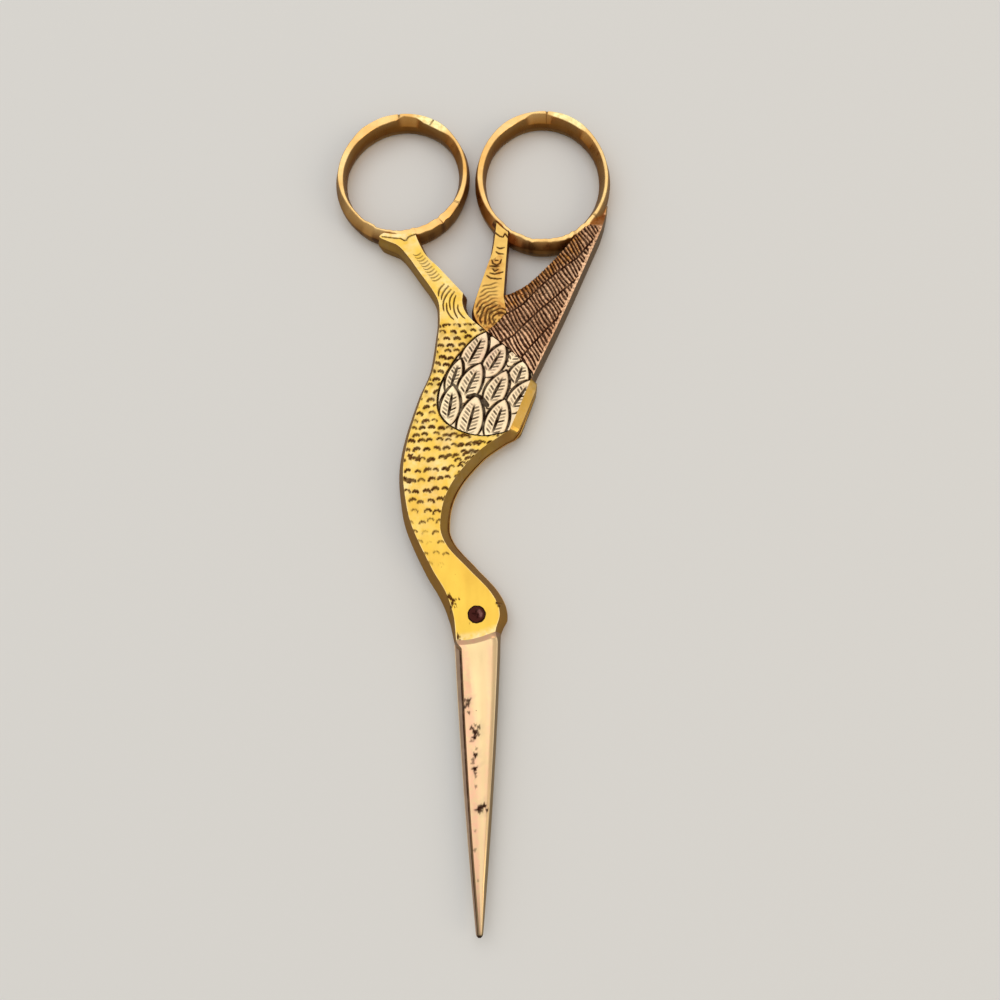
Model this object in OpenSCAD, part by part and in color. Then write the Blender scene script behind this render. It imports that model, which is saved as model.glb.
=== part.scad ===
// Stork embroidery scissors, closed, lying on the back face.
// Origin: the pivot, on the plane that the scissors lie on. The blades point along -Y,
// the finger rings lie along +Y, and the engraved front faces +Z.

/* [Body] */
// Thickness of the two halves together at the bird's body
thickness = 3.6; // [3:0.1:4.4]
// Pivot to the narrowest place of the neck
neck_reach = 12; // [10:0.5:14]
// Narrowest width of the neck on its flat face
neck_w = 3.7; // [3:0.1:4.4]
// How far the neck bows out sideways from the pivot
neck_bow = 6.5; // [5.5:0.1:7.5]
// How far the breast swells out sideways
breast_out = 9.6; // [8.8:0.1:10.4]
// Length from the neck to the place where the legs part
body_len = 28.2; // [26:0.2:31]
// How far the corner of the wing stands out sideways
wing_out = 7.5; // [6.8:0.1:8.4]
// Width of the body where the legs part
hip_w = 6.7; // [6:0.1:7.4]
// Width of the slope along the free side of the wing
wing_bevel = 1.1; // [0.6:0.1:1.3]
// Width of the slope along the other sides of the body and neck
body_bevel = 0.7; // [0.4:0.05:0.9]

/* [Head and pivot] */
// Width of the bird's head on its flat face
head_w = 5.8; // [5:0.1:6.6]
// Width of the slope along the sides of the head
head_bevel = 0.95; // [0.6:0.05:1.1]
// Pivot to the collar where the bare blades begin
collar_reach = 2.8; // [2.4:0.1:3.4]
// Diameter of the rivet's shank
rivet_d = 1.9; // [1.5:0.1:2.1]
// Diameter of the rivet's countersunk heads
rivet_head_d = 2.3; // [2.2:0.1:2.8]
// Depth of the rivet's countersunk heads
rivet_head_t = 0.5; // [0.3:0.05:0.7]
// Radial running clearance of the rivet in the front half
rivet_fit = 0.04; // [0.02:0.01:0.08]

/* [Blades] */
// Length of each bare blade, from the collar to the tip
blade_len = 34.2; // [28:0.5:40]
// Width of each blade at the collar
blade_w = 5; // [4:0.1:5.6]
// How much the blade's outline swells past a straight taper, halfway along
blade_belly = 0.4; // [0.2:0.05:0.6]
// Width of each blade at the tip
tip_w = 0.55; // [0.4:0.05:0.9]
// How far each spine stands past the other blade's edge at the collar
spine_lap = 0.75; // [0.3:0.05:1]
// Thickness of each blade at the collar
blade_t = 1.4; // [1:0.05:1.5]
// Thickness of each blade at the tip
tip_t = 0.45; // [0.3:0.05:0.8]
// Width of the ground slope along each cutting edge
edge_bevel = 0.22; // [0.1:0.02:0.3]
// How much thinner the blade is at its cutting side than at its low ridge, as a share
edge_fall = 0.2; // [0:0.02:0.3]
// How much thinner the blade is at its spine than at its low ridge, as a share
spine_fall = 0.1; // [0:0.02:0.2]

/* [Carving] */
// How far the wing's round edge stands out from the place where the legs part
panel_out = 6.7; // [6.2:0.1:7]
// Depth of the cut ground between the feathers of the wing
feather_cut = 0.2; // [0.1:0.05:0.3]
// Width of the cut line along each feather's rib
rib_cut = 0.12; // [0.08:0.02:0.2]
// Width of the cut line round each feather
feather_gap = 0.16; // [0.1:0.02:0.24]
// Width of the uncut rim between the wing's feathers and its straight sides
panel_rim = 0.15; // [0.1:0.05:0.3]
// Width of the cut lines between the long feathers of the tail
tail_cut = 0.2; // [0.12:0.02:0.3]

/* [Legs and tail] */
// Length from the place where the legs part to the middle of the ankles
leg_len = 13.3; // [11:0.1:15]
// Width of each leg just under the finger ring
leg_w = 2.1; // [1.7:0.1:2.8]
// Width of the slope along the sides of the legs
leg_bevel = 0.4; // [0.2:0.05:0.5]
// Width of the tail across its feathers, halfway along
tail_w = 7.2; // [6:0.1:8]
// How far the tail's end stands out past the corner of the wing
tail_spread = 11.1; // [10.4:0.1:11.6]
// Width of the slope along the sides of the tail
tail_bevel = 0.2; // [0.1:0.05:0.3]
// Width of the smooth rim along the free side of the tail
tail_rim = 0.7; // [0.5:0.05:1]

/* [Finger rings] */
// Width of each finger hole
hole_w = 16.9; // [15:0.1:19]
// Length of the finger hole on the front half
front_hole_l = 19.5; // [17.5:0.1:22]
// Length of the finger hole on the back half
back_hole_l = 21.4; // [19:0.1:23.5]
// Radial width of the ring's band
band_w = 1.6; // [1.2:0.1:2]
// Height of the ring's band
band_h = 3.3; // [2.6:0.1:3.4]
// Width of the flat along the top and bottom of the band
band_flat = 0.7; // [0.4:0.1:1]
// Gap between the two rings when the blades are shut
ring_gap = 0.8; // [0.4:0.1:1.4]

/* [Clearances] */
// Running gap between the two halves where they lie on each other
lap_gap = 0.05; // [0.03:0.01:0.1]
// Gap between the edges that meet when the blades are shut
stop_gap = 0.1; // [0.06:0.02:0.2]
// How far the back half peeps out beside the neck
peep = 0.25; // [0:0.05:0.3]

/* [Hidden] */
$fn = 64;

GILT = [0.93, 0.75, 0.33];
BRONZE = [0.52, 0.33, 0.22];
IRON = [0.22, 0.10, 0.08];

// Heights of the faces that lie on each other
mid_z = thickness / 2;
front_lap_z = mid_z + lap_gap / 2;
back_lap_z = mid_z - lap_gap / 2;

// Places along the bird, measured from the pivot
tip_y = -(collar_reach + blade_len);
shoulder_y = -(collar_reach + 0.7);
crotch_y = neck_reach + body_len;
ankle_y = crotch_y + leg_len;
leg_end_y = ankle_y + 6;
function along(share) = neck_reach + share * body_len;
wing_low_y = along(0.465);
wing_corner_y = along(0.724);
junction_y = along(0.767);
back_stop_y = along(0.74);

// Places across the bird
crotch_x = 1.65;
front_ankle_x = -8.6;
back_ankle_x = 3.65;

// Centres of the finger rings: each band starts just past its leg's ankle
ring_shift = -0.3;
ring_side = ring_gap / 2 + band_w + hole_w / 2;
front_ring = [ring_shift - ring_side, ankle_y + 3.5 + (front_hole_l + band_w) / 2];
back_ring = [ring_shift + ring_side, ankle_y + 1.3 + (back_hole_l + band_w) / 2];

// Smooth curve through [x, y] points that climb in y: the x at one height y
function rise(p, i) = (p[min(i + 1, len(p) - 1)].x - p[max(i - 1, 0)].x)
                    / (p[min(i + 1, len(p) - 1)].y - p[max(i - 1, 0)].y);
function span_of(p, y) = max([0, for (k = [0:len(p) - 2]) if (p[k].y <= y) k]);
function x_at(p, y) =
    let (i = span_of(p, y), a = p[i], b = p[i + 1], h = b.y - a.y, t = (y - a.y) / h)
    a.x * (1 + 2 * t) * pow(1 - t, 2) + rise(p, i) * h * t * pow(1 - t, 2)
    + b.x * t * t * (3 - 2 * t) - rise(p, i + 1) * h * t * t * (1 - t);

// Flat face edges of the front half: breast side, from the collar to the finger ring
breast_edge = [
    [-head_w / 2 + 0.35, -collar_reach],
    [-head_w / 2, 0],
    [-neck_bow * 0.6, neck_reach / 4],
    [-neck_bow / 2 - 2.35, neck_reach / 2],
    [-neck_bow - neck_w / 2, neck_reach],
    [-breast_out + 0.35, along(0.14)],
    [-breast_out, along(0.28)],
    [-breast_out + 0.6, along(0.435)],
    [-breast_out + 2.4, along(0.66)],
    [crotch_x - hip_w - 0.7, along(0.8)],
    [crotch_x - hip_w, crotch_y],
    [crotch_x - hip_w + 0.15, crotch_y + 2.4],
    [front_ankle_x + 3.3, crotch_y + 5.6],
    [front_ankle_x + 0.5, crotch_y + 10.4],
    [front_ankle_x - leg_w * 0.64, ankle_y],
    [front_ankle_x - leg_w / 2 - 1.5, ankle_y + 1.4],
    [front_ankle_x - leg_w / 2 - 3, ankle_y + 2.2],
    [front_ankle_x - leg_w / 2 - 4.5, ankle_y + 2.7],
    [front_ankle_x - leg_w / 2 - 6, leg_end_y]];
// Nape side, from the collar to the low corner of the wing
nape_edge = [
    [head_w / 2 - 0.6, -collar_reach],
    [head_w / 2 - 0.05, 0.3],
    [head_w / 2 - 1.1, 2.8],
    [-neck_bow / 2 + 2.2, neck_reach / 2],
    [-neck_bow + neck_w / 2 + 0.9, neck_reach * 0.76],
    [-neck_bow + neck_w / 2, neck_reach],
    [-neck_bow + neck_w / 2 + 1.15, along(0.18)],
    [wing_out - 7.1, along(0.36)],
    [wing_out - 3, wing_low_y]];
// Free side of the wing, then the line where the wing meets the tail
wing_edge = [
    [wing_out - 3, wing_low_y],
    [wing_out - 1.75, along(0.571)],
    [wing_out, wing_corner_y]];
junction_edge = [
    [wing_out, wing_corner_y],
    [wing_out + 0.2, junction_y],
    [wing_out - 1.4, along(0.844)],
    [crotch_x + 2.3, along(0.925)],
    [crotch_x, crotch_y]];
// Inner side of the front leg, with its sharp knee
front_thigh_edge = [
    [crotch_x, crotch_y],
    [crotch_x - 1.65, crotch_y + 1.5],
    [crotch_x - 2.9, crotch_y + 3.1],
    [crotch_x - 3.4, crotch_y + 4.8],
    [crotch_x - 3.3, crotch_y + 6.3]];
front_shin_edge = [
    [crotch_x - 3.3, crotch_y + 6.3],
    [front_ankle_x + 3.7, crotch_y + 10.4],
    [front_ankle_x + leg_w * 0.64, ankle_y],
    [front_ankle_x + leg_w / 2 - 2, leg_end_y]];
// Inner side of the back leg
back_leg_edge = [
    [crotch_x, crotch_y],
    [crotch_x - 1.3, crotch_y + 1.5],
    [crotch_x - 1.85, crotch_y + 3.2],
    [crotch_x - 1.6, crotch_y + 5],
    [crotch_x + 0.1, crotch_y + 10.6],
    [back_ankle_x - leg_w / 2, ankle_y],
    [back_ankle_x - leg_w / 2 + 0.8, leg_end_y]];
// Outer side of the tail
tail_edge = [
    [wing_out, wing_corner_y],
    [wing_out + tail_spread * 0.054, junction_y],
    [wing_out + tail_spread * 0.432, crotch_y + leg_len * 0.18],
    [wing_out + tail_spread * 0.856, ankle_y],
    [wing_out + tail_spread * 0.964, ankle_y + leg_len / 4],
    [wing_out + tail_spread, leg_end_y + 0.5]];
// The wing's panel: a point at shares of its width, from the crotch, and of its length
wing_foot_y = along(0.443);
panel_w = wing_out - crotch_x + panel_out;
function on_panel(p) = [crotch_x + p.x * panel_w, wing_foot_y + p.y * (crotch_y - wing_foot_y)];
// Its round edge, from the low corner of the wing round the foot and up to the crotch
panel_edge = [for (p = [[0.22, 0.045], [0.17, 0.027], [0.05, 0.006], [-0.06, 0], [-0.2, 0.022], [-0.34, 0.07], [-0.45, 0.135], [-0.52, 0.226],
    [-0.534, 0.34], [-0.51, 0.475], [-0.415, 0.638], [-0.285, 0.803], [-0.12, 0.948], [-0.01, 0.995]])
    on_panel(p)];

// Outer outline of the blades, which narrow to the tip with a slight belly
function blade_share(y) = (y - shoulder_y) / (tip_y - shoulder_y);
function blade_width(y) =
    let (t = blade_share(y)) blade_w + (tip_w - blade_w) * t + blade_belly * 4 * t * (1 - t);
function blade_lap(y) = spine_lap * (1 - 0.7 * blade_share(y));
function spine_x(y) = (blade_width(y) + blade_lap(y)) / 2;
function cutting_x(y) = -(blade_width(y) - blade_lap(y)) / 2;

// Face edges of the front half at a height y
function breast_x(y) = y < -collar_reach ? cutting_x(y) + edge_bevel : x_at(breast_edge, y);
function nape_x(y) =
    y < -collar_reach ? spine_x(y) - spine_bevel(y)
    : y <= wing_low_y ? x_at(nape_edge, y)
    : y <= wing_corner_y ? x_at(wing_edge, y)
    : y <= crotch_y ? x_at(junction_edge, y)
    : y <= crotch_y + 6.3 ? x_at(front_thigh_edge, y) : x_at(front_shin_edge, y);
// Line across the back, where the body of the back half stops against the front leg
function stop_x(y) =
    let (x0 = x_at(breast_edge, back_stop_y) - body_bevel)
    x0 + (crotch_x - x0) * (y - back_stop_y) / (crotch_y - back_stop_y);

// Width of the slope between the flat face and the widest outline
function spine_bevel(y) = min(0.3, blade_width(y) * 0.2);
function breast_bevel(y) = y < -collar_reach ? edge_bevel : lookup(y, [
    [0, head_bevel], [neck_reach * 0.7, head_bevel], [along(0.25), body_bevel],
    [along(0.7), body_bevel], [crotch_y + 4, leg_bevel]]);
function nape_bevel(y) = y < -collar_reach ? spine_bevel(y) : lookup(y, [
    [0, head_bevel], [neck_reach * 0.7, head_bevel], [along(0.25), body_bevel],
    [wing_low_y - 0.6, body_bevel], [wing_low_y + 0.8, wing_bevel],
    [wing_corner_y - 0.8, wing_bevel], [wing_corner_y, wing_bevel * 0.85], [junction_y, 0],
    [crotch_y, 0], [crotch_y + 3, leg_bevel]]);

// Height of the face above the lapped face
function face_h(y) = y < shoulder_y
    ? tip_t + (blade_t - tip_t) * (1 - blade_share(y))
    : y < -collar_reach ? blade_t : mid_z - lap_gap / 2;

// A face edge point moved outwards by a slope's width; side is -1 on the left, 1 on the right
function outward(x0, x1, y, step, side, w) =
    let (lean = (x1 - x0) / step)
    [x1 + side * w / norm([1, lean]), y - side * lean * w / norm([1, lean])];

// Solid skin round a row of sections that all have the same number of points
function skin_faces(rows, n) = concat(
    [for (r = [0:rows - 2], k = [0:n - 1]) let (m = (k + 1) % n)
        each [[r * n + k, (r + 1) * n + m, r * n + m], [r * n + k, (r + 1) * n + k, (r + 1) * n + m]]],
    [for (k = [1:n - 2]) [0, k, k + 1]],
    [for (k = [1:n - 2]) [(rows - 1) * n, (rows - 1) * n + k + 1, (rows - 1) * n + k]]);
module skin(sections) {
    polyhedron([for (s = sections) each s], skin_faces(len(sections), len(sections[0])), convexity = 10);
}

// Heights along the bird at which the sections are taken
function steps(y0, y1, n) = [for (k = [1:n]) y0 + (y1 - y0) * k / n];
knee_y = crotch_y + 6.3;
stations = concat(
    [tip_y], steps(tip_y, shoulder_y, 20), [-collar_reach + 0.02],
    steps(-collar_reach, wing_low_y, 24), steps(wing_low_y, wing_corner_y, 6),
    steps(wing_corner_y, junction_y, 2), steps(junction_y, crotch_y, 6),
    steps(crotch_y, knee_y, 6), steps(knee_y, leg_end_y, 11));
lean_step = 0.01;

// Ends of one section of the front half: [face edge, widest edge] on each side
function breast_side(y) = [[breast_x(y), y],
    outward(breast_x(y - lean_step), breast_x(y), y, lean_step, -1, breast_bevel(y))];
function nape_side(y) = [[nape_x(y), y],
    outward(nape_x(y - lean_step), nape_x(y), y, lean_step, 1, nape_bevel(y))];
// The same for the back half, whose blade is the front one turned over
function peep_at(y) = lookup(y, [
    [0, 0], [neck_reach * 0.7, peep], [wing_low_y, peep], [wing_corner_y, 0]]);
function back_breast_x(y) = y < -collar_reach ? -nape_x(y) : breast_x(y) + peep_at(y);
function back_nape_x(y) = y < -collar_reach ? -breast_x(y)
    : y <= wing_corner_y ? nape_x(y) + peep_at(y) : x_at(tail_edge, y);
function back_breast_bevel(y) = y < -collar_reach ? nape_bevel(y) : breast_bevel(y);
function back_nape_bevel(y) = y < -collar_reach ? breast_bevel(y)
    : y <= wing_corner_y ? nape_bevel(y)
    : lookup(y, [[wing_corner_y, wing_bevel * 0.85], [junction_y + 1, tail_bevel]]);
function back_breast_side(y) = [[back_breast_x(y), y], outward(back_breast_x(y - lean_step),
    back_breast_x(y), y, lean_step, -1, back_breast_bevel(y))];
function back_nape_side(y) = [[back_nape_x(y), y], outward(back_nape_x(y - lean_step),
    back_nape_x(y), y, lean_step, 1, back_nape_bevel(y))];
// Inner side of the back leg, and the straight sides of the two stops
function leg_slope(y) = lookup(y, [[crotch_y + 1, 0], [crotch_y + 4, leg_bevel]]);
function back_leg_side(y) = [[x_at(back_leg_edge, y) + stop_gap / 2, y],
    outward(x_at(back_leg_edge, y - lean_step) + stop_gap / 2, x_at(back_leg_edge, y) + stop_gap / 2,
        y, lean_step, -1, leg_slope(y))];
function straight(x, y) = [[x, y], [x, y]];

// Low ridge of the blade: its share of the way from the cutting side to the spine, and how
// far the face falls on both sides of it
function ridge_share(y) = lookup(y, [[tip_y, 0.5], [tip_y / 2, 0.42], [shoulder_y, 0.14]]);
function falls(y) = y <= shoulder_y ? [edge_fall, spine_fall] : [0, 0];

// One layer: flat face at z_face, lapped face at z_lap, with a ridge at a share of the way
// from left to right and the face's sides lower by the two falls
function layer(left, right, z_face, z_lap, ridge = 0.5, fall = [0, 0]) = let (
    h = z_face - z_lap, x0 = min(left[0].x, right[0].x - 0.05), x1 = right[0].x,
    y0 = left[0].y, y1 = right[0].y,
    a = [left[1].x, left[1].y, z_lap], b = [x0, y0, z_face - fall[0] * h],
    m = [x0 + (x1 - x0) * ridge, y0 + (y1 - y0) * ridge, z_face],
    c = [x1, y1, z_face - fall[1] * h], d = [right[1].x, right[1].y, z_lap])
    h > 0 ? [a, b, m, c, d] : [d, c, m, b, a];

// Oval loop round a finger ring, out from the band's middle line
function ring_point(centre, hole_l, a, r) = let (
    ax = (hole_w + band_w) / 2, ay = (hole_l + band_w) / 2, n = [cos(a) / ax, sin(a) / ay])
    centre + [ax * cos(a), ay * sin(a)] + r * n / norm(n);
ring_steps = 56;
function ring_angle(k) = k * 360 / ring_steps;
// Outer half of the band's section, from bottom to top: [out, up from the middle]
band_out = [
    [band_flat / 2, -band_h / 2],
    [band_flat / 4 + band_w / 4 + 0.08, -band_h * 0.3],
    [band_w / 2, -band_h * 0.08],
    [band_w / 2, band_h * 0.08],
    [band_flat / 4 + band_w / 4 + 0.08, band_h * 0.3],
    [band_flat / 2, band_h / 2]];
band_section = concat([for (p = band_out) [-p.x, p.y]],
    [for (k = [len(band_out) - 1:-1:0]) band_out[k]]);
module finger_ring(centre, hole_l) {
    n = len(band_section);
    points = [for (k = [0:ring_steps - 1], p = band_section)
        let (q = ring_point(centre, hole_l, ring_angle(k), p.x)) [q.x, q.y, mid_z + p.y]];
    faces = [for (r = [0:ring_steps - 1], k = [0:n - 1])
        let (m = (k + 1) % n, s = (r + 1) % ring_steps)
        each [[r * n + k, s * n + m, r * n + m], [r * n + k, s * n + k, s * n + m]]];
    polyhedron(points, faces, convexity = 10);
}
// The whole oval inside the ring's outer wall, which the feet and the tail end against
module ring_seat(centre, hole_l) {
    levels = concat([[band_flat / 2, -thickness]], band_out, [[band_flat / 2, thickness]]);
    skin([for (p = levels) [for (k = [0:ring_steps - 1])
        let (q = ring_point(centre, hole_l, ring_angle(k), p.x)) [q.x, q.y, mid_z + p.y]]]);
}

// Open space between the back leg and the tail, narrower at mid height
function space_outline(inset) = let (
    x0 = crotch_x + 2.45 + inset * 1.5, y0 = crotch_y + 5.7, x1 = back_ankle_x + leg_w / 2 + 0.5)
    [[x0, y0 + inset],
     [x_at(tail_edge, y0 + 0.3) - tail_w - 1.6, y0 + 0.3 + inset],
     [x_at(tail_edge, y0 + 1.5) - tail_w, y0 + 1.5 + inset],
     [x_at(tail_edge, y0 + 3.5) - tail_w + 1.3 - inset, y0 + 3.5],
     [x_at(tail_edge, y0 + 7.3) - tail_w + 3.1 - inset, y0 + 7.3],
     [x_at(tail_edge, y0 + 11.1) - tail_w + 4.6 - inset, y0 + 11.1],
     [x1 + inset * 1.5, leg_end_y + 0.5]];
module leg_space() {
    skin([for (p = [[-1, 0], [mid_z, leg_bevel], [thickness + 1, 0]])
        [for (q = space_outline(p[1])) [q.x, q.y, p[0]]]]);
}

// Leaf outline of one feather, from its foot to its tip, and its outline with a gap round it
function feather_half(w, s) = w / 2 * pow(sin(180 * pow(s, 0.85)), 0.62);
module feather(foot, tip, w) {
    u = (tip - foot) / norm(tip - foot);
    n = [-u.y, u.x];
    shares = [0.01, 0.1, 0.25, 0.42, 0.6, 0.76, 0.9, 0.99];
    polygon(concat(
        [for (s = shares) foot + s * (tip - foot) - n * feather_half(w, s)],
        [for (k = [len(shares) - 1:-1:0]) let (s = shares[k])
            foot + s * (tip - foot) + n * feather_half(w, s)]));
}
module feather_place(f, gap) {
    foot = on_panel(f[0]);
    tip = on_panel(f[1]);
    feather(foot, tip + (tip - foot) / norm(tip - foot) * gap, f[2] + 2 * gap);
}
module feather_rib(f) {
    foot = on_panel(f[0]);
    u = on_panel(f[1]) - foot;
    n = [-u.y, u.x] / norm(u) * rib_cut / 2;
    polygon([foot + 0.2 * u - n, foot + 0.85 * u - n, foot + 0.85 * u + n, foot + 0.2 * u + n]);
}
// Feathers of the wing, from the legs down, each over the ones before it: shares across and
// along the panel of the foot and of the tip, and the feather's width
wing_feathers = [
    [[0, 0.8], [0.11, 0.95], 2.4], [[0.25, 0.69], [0.35, 0.8], 2.2],
    [[-0.27, 0.6], [-0.03, 1], 2.9], [[0.03, 0.54], [0.2, 0.85], 2.8],
    [[0.27, 0.43], [0.43, 0.7], 3], [[-0.45, 0.44], [-0.29, 0.75], 2.3],
    [[-0.24, 0.34], [-0.06, 0.68], 3], [[0.02, 0.26], [0.18, 0.59], 3],
    [[0.21, 0.21], [0.45, 0.52], 3], [[-0.38, 0.07], [-0.36, 0.47], 2.8],
    [[-0.23, -0.08], [-0.11, 0.36], 3.4], [[0.03, -0.08], [0.2, 0.31], 3.2]];
last_feather = len(wing_feathers) - 1;
// A cut of even width along a line through points
module cut_line(points, w) {
    last = len(points) - 1;
    sides = [for (k = [0:last]) let (d = points[min(k + 1, last)] - points[max(k - 1, 0)])
        [-d.y, d.x] / norm(d) * w / 2];
    polygon(concat([for (k = [0:last]) points[k] + sides[k]],
        [for (k = [last:-1:0]) points[k] - sides[k]]));
}
// The cut ground: the panel, less each feather where no later one lies over it, with the
// lines along the ribs and round the panel
module wing_ground() {
    function side_x(y) = y < wing_low_y ? x_at(nape_edge, wing_low_y)
        : y < wing_corner_y ? x_at(wing_edge, y) : x_at(junction_edge, y);
    shares = [0.96, 0.85, 0.72, 0.6, 0.5, 0.3, 0.06];
    difference() {
        polygon(concat(panel_edge,
            [for (s = shares) let (y = on_panel([0, s]).y) [side_x(y) - panel_rim, y]]));
        for (k = [0:last_feather]) difference() {
            feather_place(wing_feathers[k], 0);
            feather_rib(wing_feathers[k]);
            for (j = [k + 1:1:min(k + 5, last_feather)]) feather_place(wing_feathers[j], feather_gap);
        }
    }
    cut_line(panel_edge, feather_gap);
}
// Lines between the long feathers of the tail: each bows from the wing or the back leg to
// the rim, and the last one follows the rim
function bowed(p, q, bow) = let (n = [p.y - q.y, q.x - p.x] / norm(q - p))
    [for (k = [0:6]) p + (q - p) * k / 6 + n * bow * sin(30 * k)];
function on_rim(y) = [x_at(tail_edge, y) - tail_rim, y];
function from_wing(y) = [x_at(junction_edge, y) + 2 * stop_gap, y];
tail_lines = [
    bowed(from_wing(along(0.855)), on_rim(crotch_y + leg_len * 0.28), 0.3),
    bowed(from_wing(along(0.945)), on_rim(crotch_y + leg_len * 0.7), 0.4),
    bowed([crotch_x + 3, crotch_y + 2.9], on_rim(ankle_y + 1.2), 0.6),
    [for (k = [0:8]) on_rim(junction_y + 0.6 + (leg_end_y - junction_y) * k / 8)]];
// Cuts into the face at a height, for the front, or up into the face that lies at 0
module carved(z) {
    translate([0, 0, z > 0 ? z - feather_cut : -1]) linear_extrude(1 + feather_cut) children();
}

// Countersunk rivet: out is the clearance round it, and extra lengthens its ends
module rivet_body(out, extra) {
    translate([0, 0, -extra]) cylinder(r = rivet_d / 2 + out, h = thickness + 2 * extra);
    for (s = [0, 1]) translate([0, 0, s * thickness]) mirror([0, 0, s])
        cylinder(r1 = rivet_head_d / 2 + out, r2 = rivet_d / 2 + out, h = rivet_head_t);
}

module front_half() {
    color(GILT) difference() {
        union() {
            skin([for (y = stations)
                layer(breast_side(y), nape_side(y), front_lap_z + face_h(y), front_lap_z,
                    y <= shoulder_y ? ridge_share(y) : 0.5, falls(y))]);
            skin([for (y = stations) if (y > back_stop_y + 0.25)
                layer(breast_side(y),
                    y < crotch_y ? straight(stop_x(y) - stop_gap, y) : nape_side(y), 0, front_lap_z)]);
        }
        carved(thickness) wing_ground();
        ring_seat(front_ring, front_hole_l);
        rivet_body(rivet_fit, 1);
    }
}

module back_half() {
    color(BRONZE) difference() {
        union() {
            skin([for (y = stations)
                layer(y < back_stop_y ? back_breast_side(y)
                    : y < crotch_y ? straight(stop_x(y), y) : back_leg_side(y),
                    back_nape_side(y), back_lap_z - face_h(y), back_lap_z,
                    y <= shoulder_y ? 1 - ridge_share(y) : 0.5, [falls(y)[1], falls(y)[0]])]);
            skin([for (y = stations) if (y > junction_y - 0.6)
                layer(y < crotch_y ? straight(x_at(junction_edge, y) + stop_gap, y) : back_leg_side(y),
                    back_nape_side(y), thickness, back_lap_z)]);
        }
        leg_space();
        carved(0) wing_ground();
        for (z = [0, thickness]) carved(z) for (line = tail_lines) cut_line(line, tail_cut);
        ring_seat(back_ring, back_hole_l);
        rivet_body(0, 1);
    }
}

module front_finger_ring() { color(GILT) finger_ring(front_ring, front_hole_l); }
module back_finger_ring() { color(GILT) finger_ring(back_ring, back_hole_l); }
module pivot_rivet() { color(IRON) rivet_body(0, 0); }

front_half();
back_half();
front_finger_ring();
back_finger_ring();
pivot_rivet();
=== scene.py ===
"""Stork embroidery scissors: two half-lapped, plated steel halves that turn on one rivet.

The shapes are worked out in millimetres and stored in metres. The pivot is at x = y = 0, the
scissors lie on z = 0, the blades point along -Y and the engraved front faces +Z.
"""
import math

import bpy
import numpy as np
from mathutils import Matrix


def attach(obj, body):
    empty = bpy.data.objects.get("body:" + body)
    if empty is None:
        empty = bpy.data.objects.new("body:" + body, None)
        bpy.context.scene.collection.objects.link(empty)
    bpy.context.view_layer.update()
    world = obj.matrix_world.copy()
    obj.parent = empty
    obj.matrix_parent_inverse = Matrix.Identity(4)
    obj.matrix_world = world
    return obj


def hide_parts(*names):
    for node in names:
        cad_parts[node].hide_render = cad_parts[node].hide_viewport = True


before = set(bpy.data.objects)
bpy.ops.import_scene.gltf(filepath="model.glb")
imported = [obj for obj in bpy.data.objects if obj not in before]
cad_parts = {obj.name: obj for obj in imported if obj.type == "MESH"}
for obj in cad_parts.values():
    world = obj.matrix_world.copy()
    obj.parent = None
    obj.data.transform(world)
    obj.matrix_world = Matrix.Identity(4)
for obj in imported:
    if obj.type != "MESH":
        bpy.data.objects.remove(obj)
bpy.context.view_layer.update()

# Camera: held by hand about 12 cm above the blades, and tipped a little towards the finger
# rings.
camera = bpy.data.cameras.new("photo_camera")
camera.lens = 36
camera.sensor_width = 36
camera.clip_start = 0.005
camera_object = bpy.data.objects.new("photo_camera", camera)
camera_object.location = (0.00636, -0.03084, 0.125)
camera_object.rotation_euler = [math.radians(a) for a in (20.718, 1.84, -0.829)]
bpy.context.scene.collection.objects.link(camera_object)
bpy.context.scene.camera = camera_object
bpy.context.scene.view_settings.view_transform = "Standard"

# Table and light: a plain table under a pale room, with one wide soft window light above the
# far left and a weaker, warmer one from the right. The table is pale to the camera only, and
# darker where the polished sides mirror it.
world = bpy.data.worlds.new("pale_room")
world.use_nodes = True
room = world.node_tree.nodes["Background"].inputs
room["Color"].default_value = (1, 0.965, 0.915, 1)
room["Strength"].default_value = 0.55
bpy.context.scene.world = world


def soft_light(name, place, width, power, colour):
    """A square lamp of that width in metres, turned so that it shines on the rivet."""
    lamp = bpy.data.lights.new(name, "AREA")
    lamp.shape = "SQUARE"
    lamp.size = width
    lamp.energy = power
    lamp.color = colour
    lamp_object = bpy.data.objects.new(name, lamp)
    lamp_object.location = place
    x, y, z = place
    lamp_object.rotation_euler = (math.atan2(math.hypot(x, y), z), 0, math.atan2(x, -y))
    bpy.context.scene.collection.objects.link(lamp_object)


soft_light("window_light", (-0.25, 0.45, 1.2), 1.5, 5.7, (1, 0.98, 0.95))
soft_light("fill_light", (0.9, -0.3, 0.6), 0.6, 2.0, (1, 0.78, 0.52))

table_half = 1.5
table_mesh = bpy.data.meshes.new("table")
table_mesh.from_pydata([(-table_half, -table_half, 0), (table_half, -table_half, 0),
                        (table_half, table_half, 0), (-table_half, table_half, 0)],
                       [], [(0, 1, 2, 3)])
table = bpy.data.objects.new("table", table_mesh)
bpy.context.scene.collection.objects.link(table)
table_paint = bpy.data.materials.new("table_paint")
table_paint.use_nodes = True
table_nodes, table_links = table_paint.node_tree.nodes, table_paint.node_tree.links
table_shader = table_nodes["Principled BSDF"]
table_shader.inputs["Roughness"].default_value = 0.85
seen = table_nodes.new("ShaderNodeMix")
seen.data_type = "RGBA"
seen.inputs["A"].default_value = (0.30, 0.29, 0.27, 1)
seen.inputs["B"].default_value = (0.80, 0.81, 0.81, 1)
table_links.new(table_nodes.new("ShaderNodeLightPath").outputs["Is Camera Ray"],
                seen.inputs["Factor"])
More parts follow.
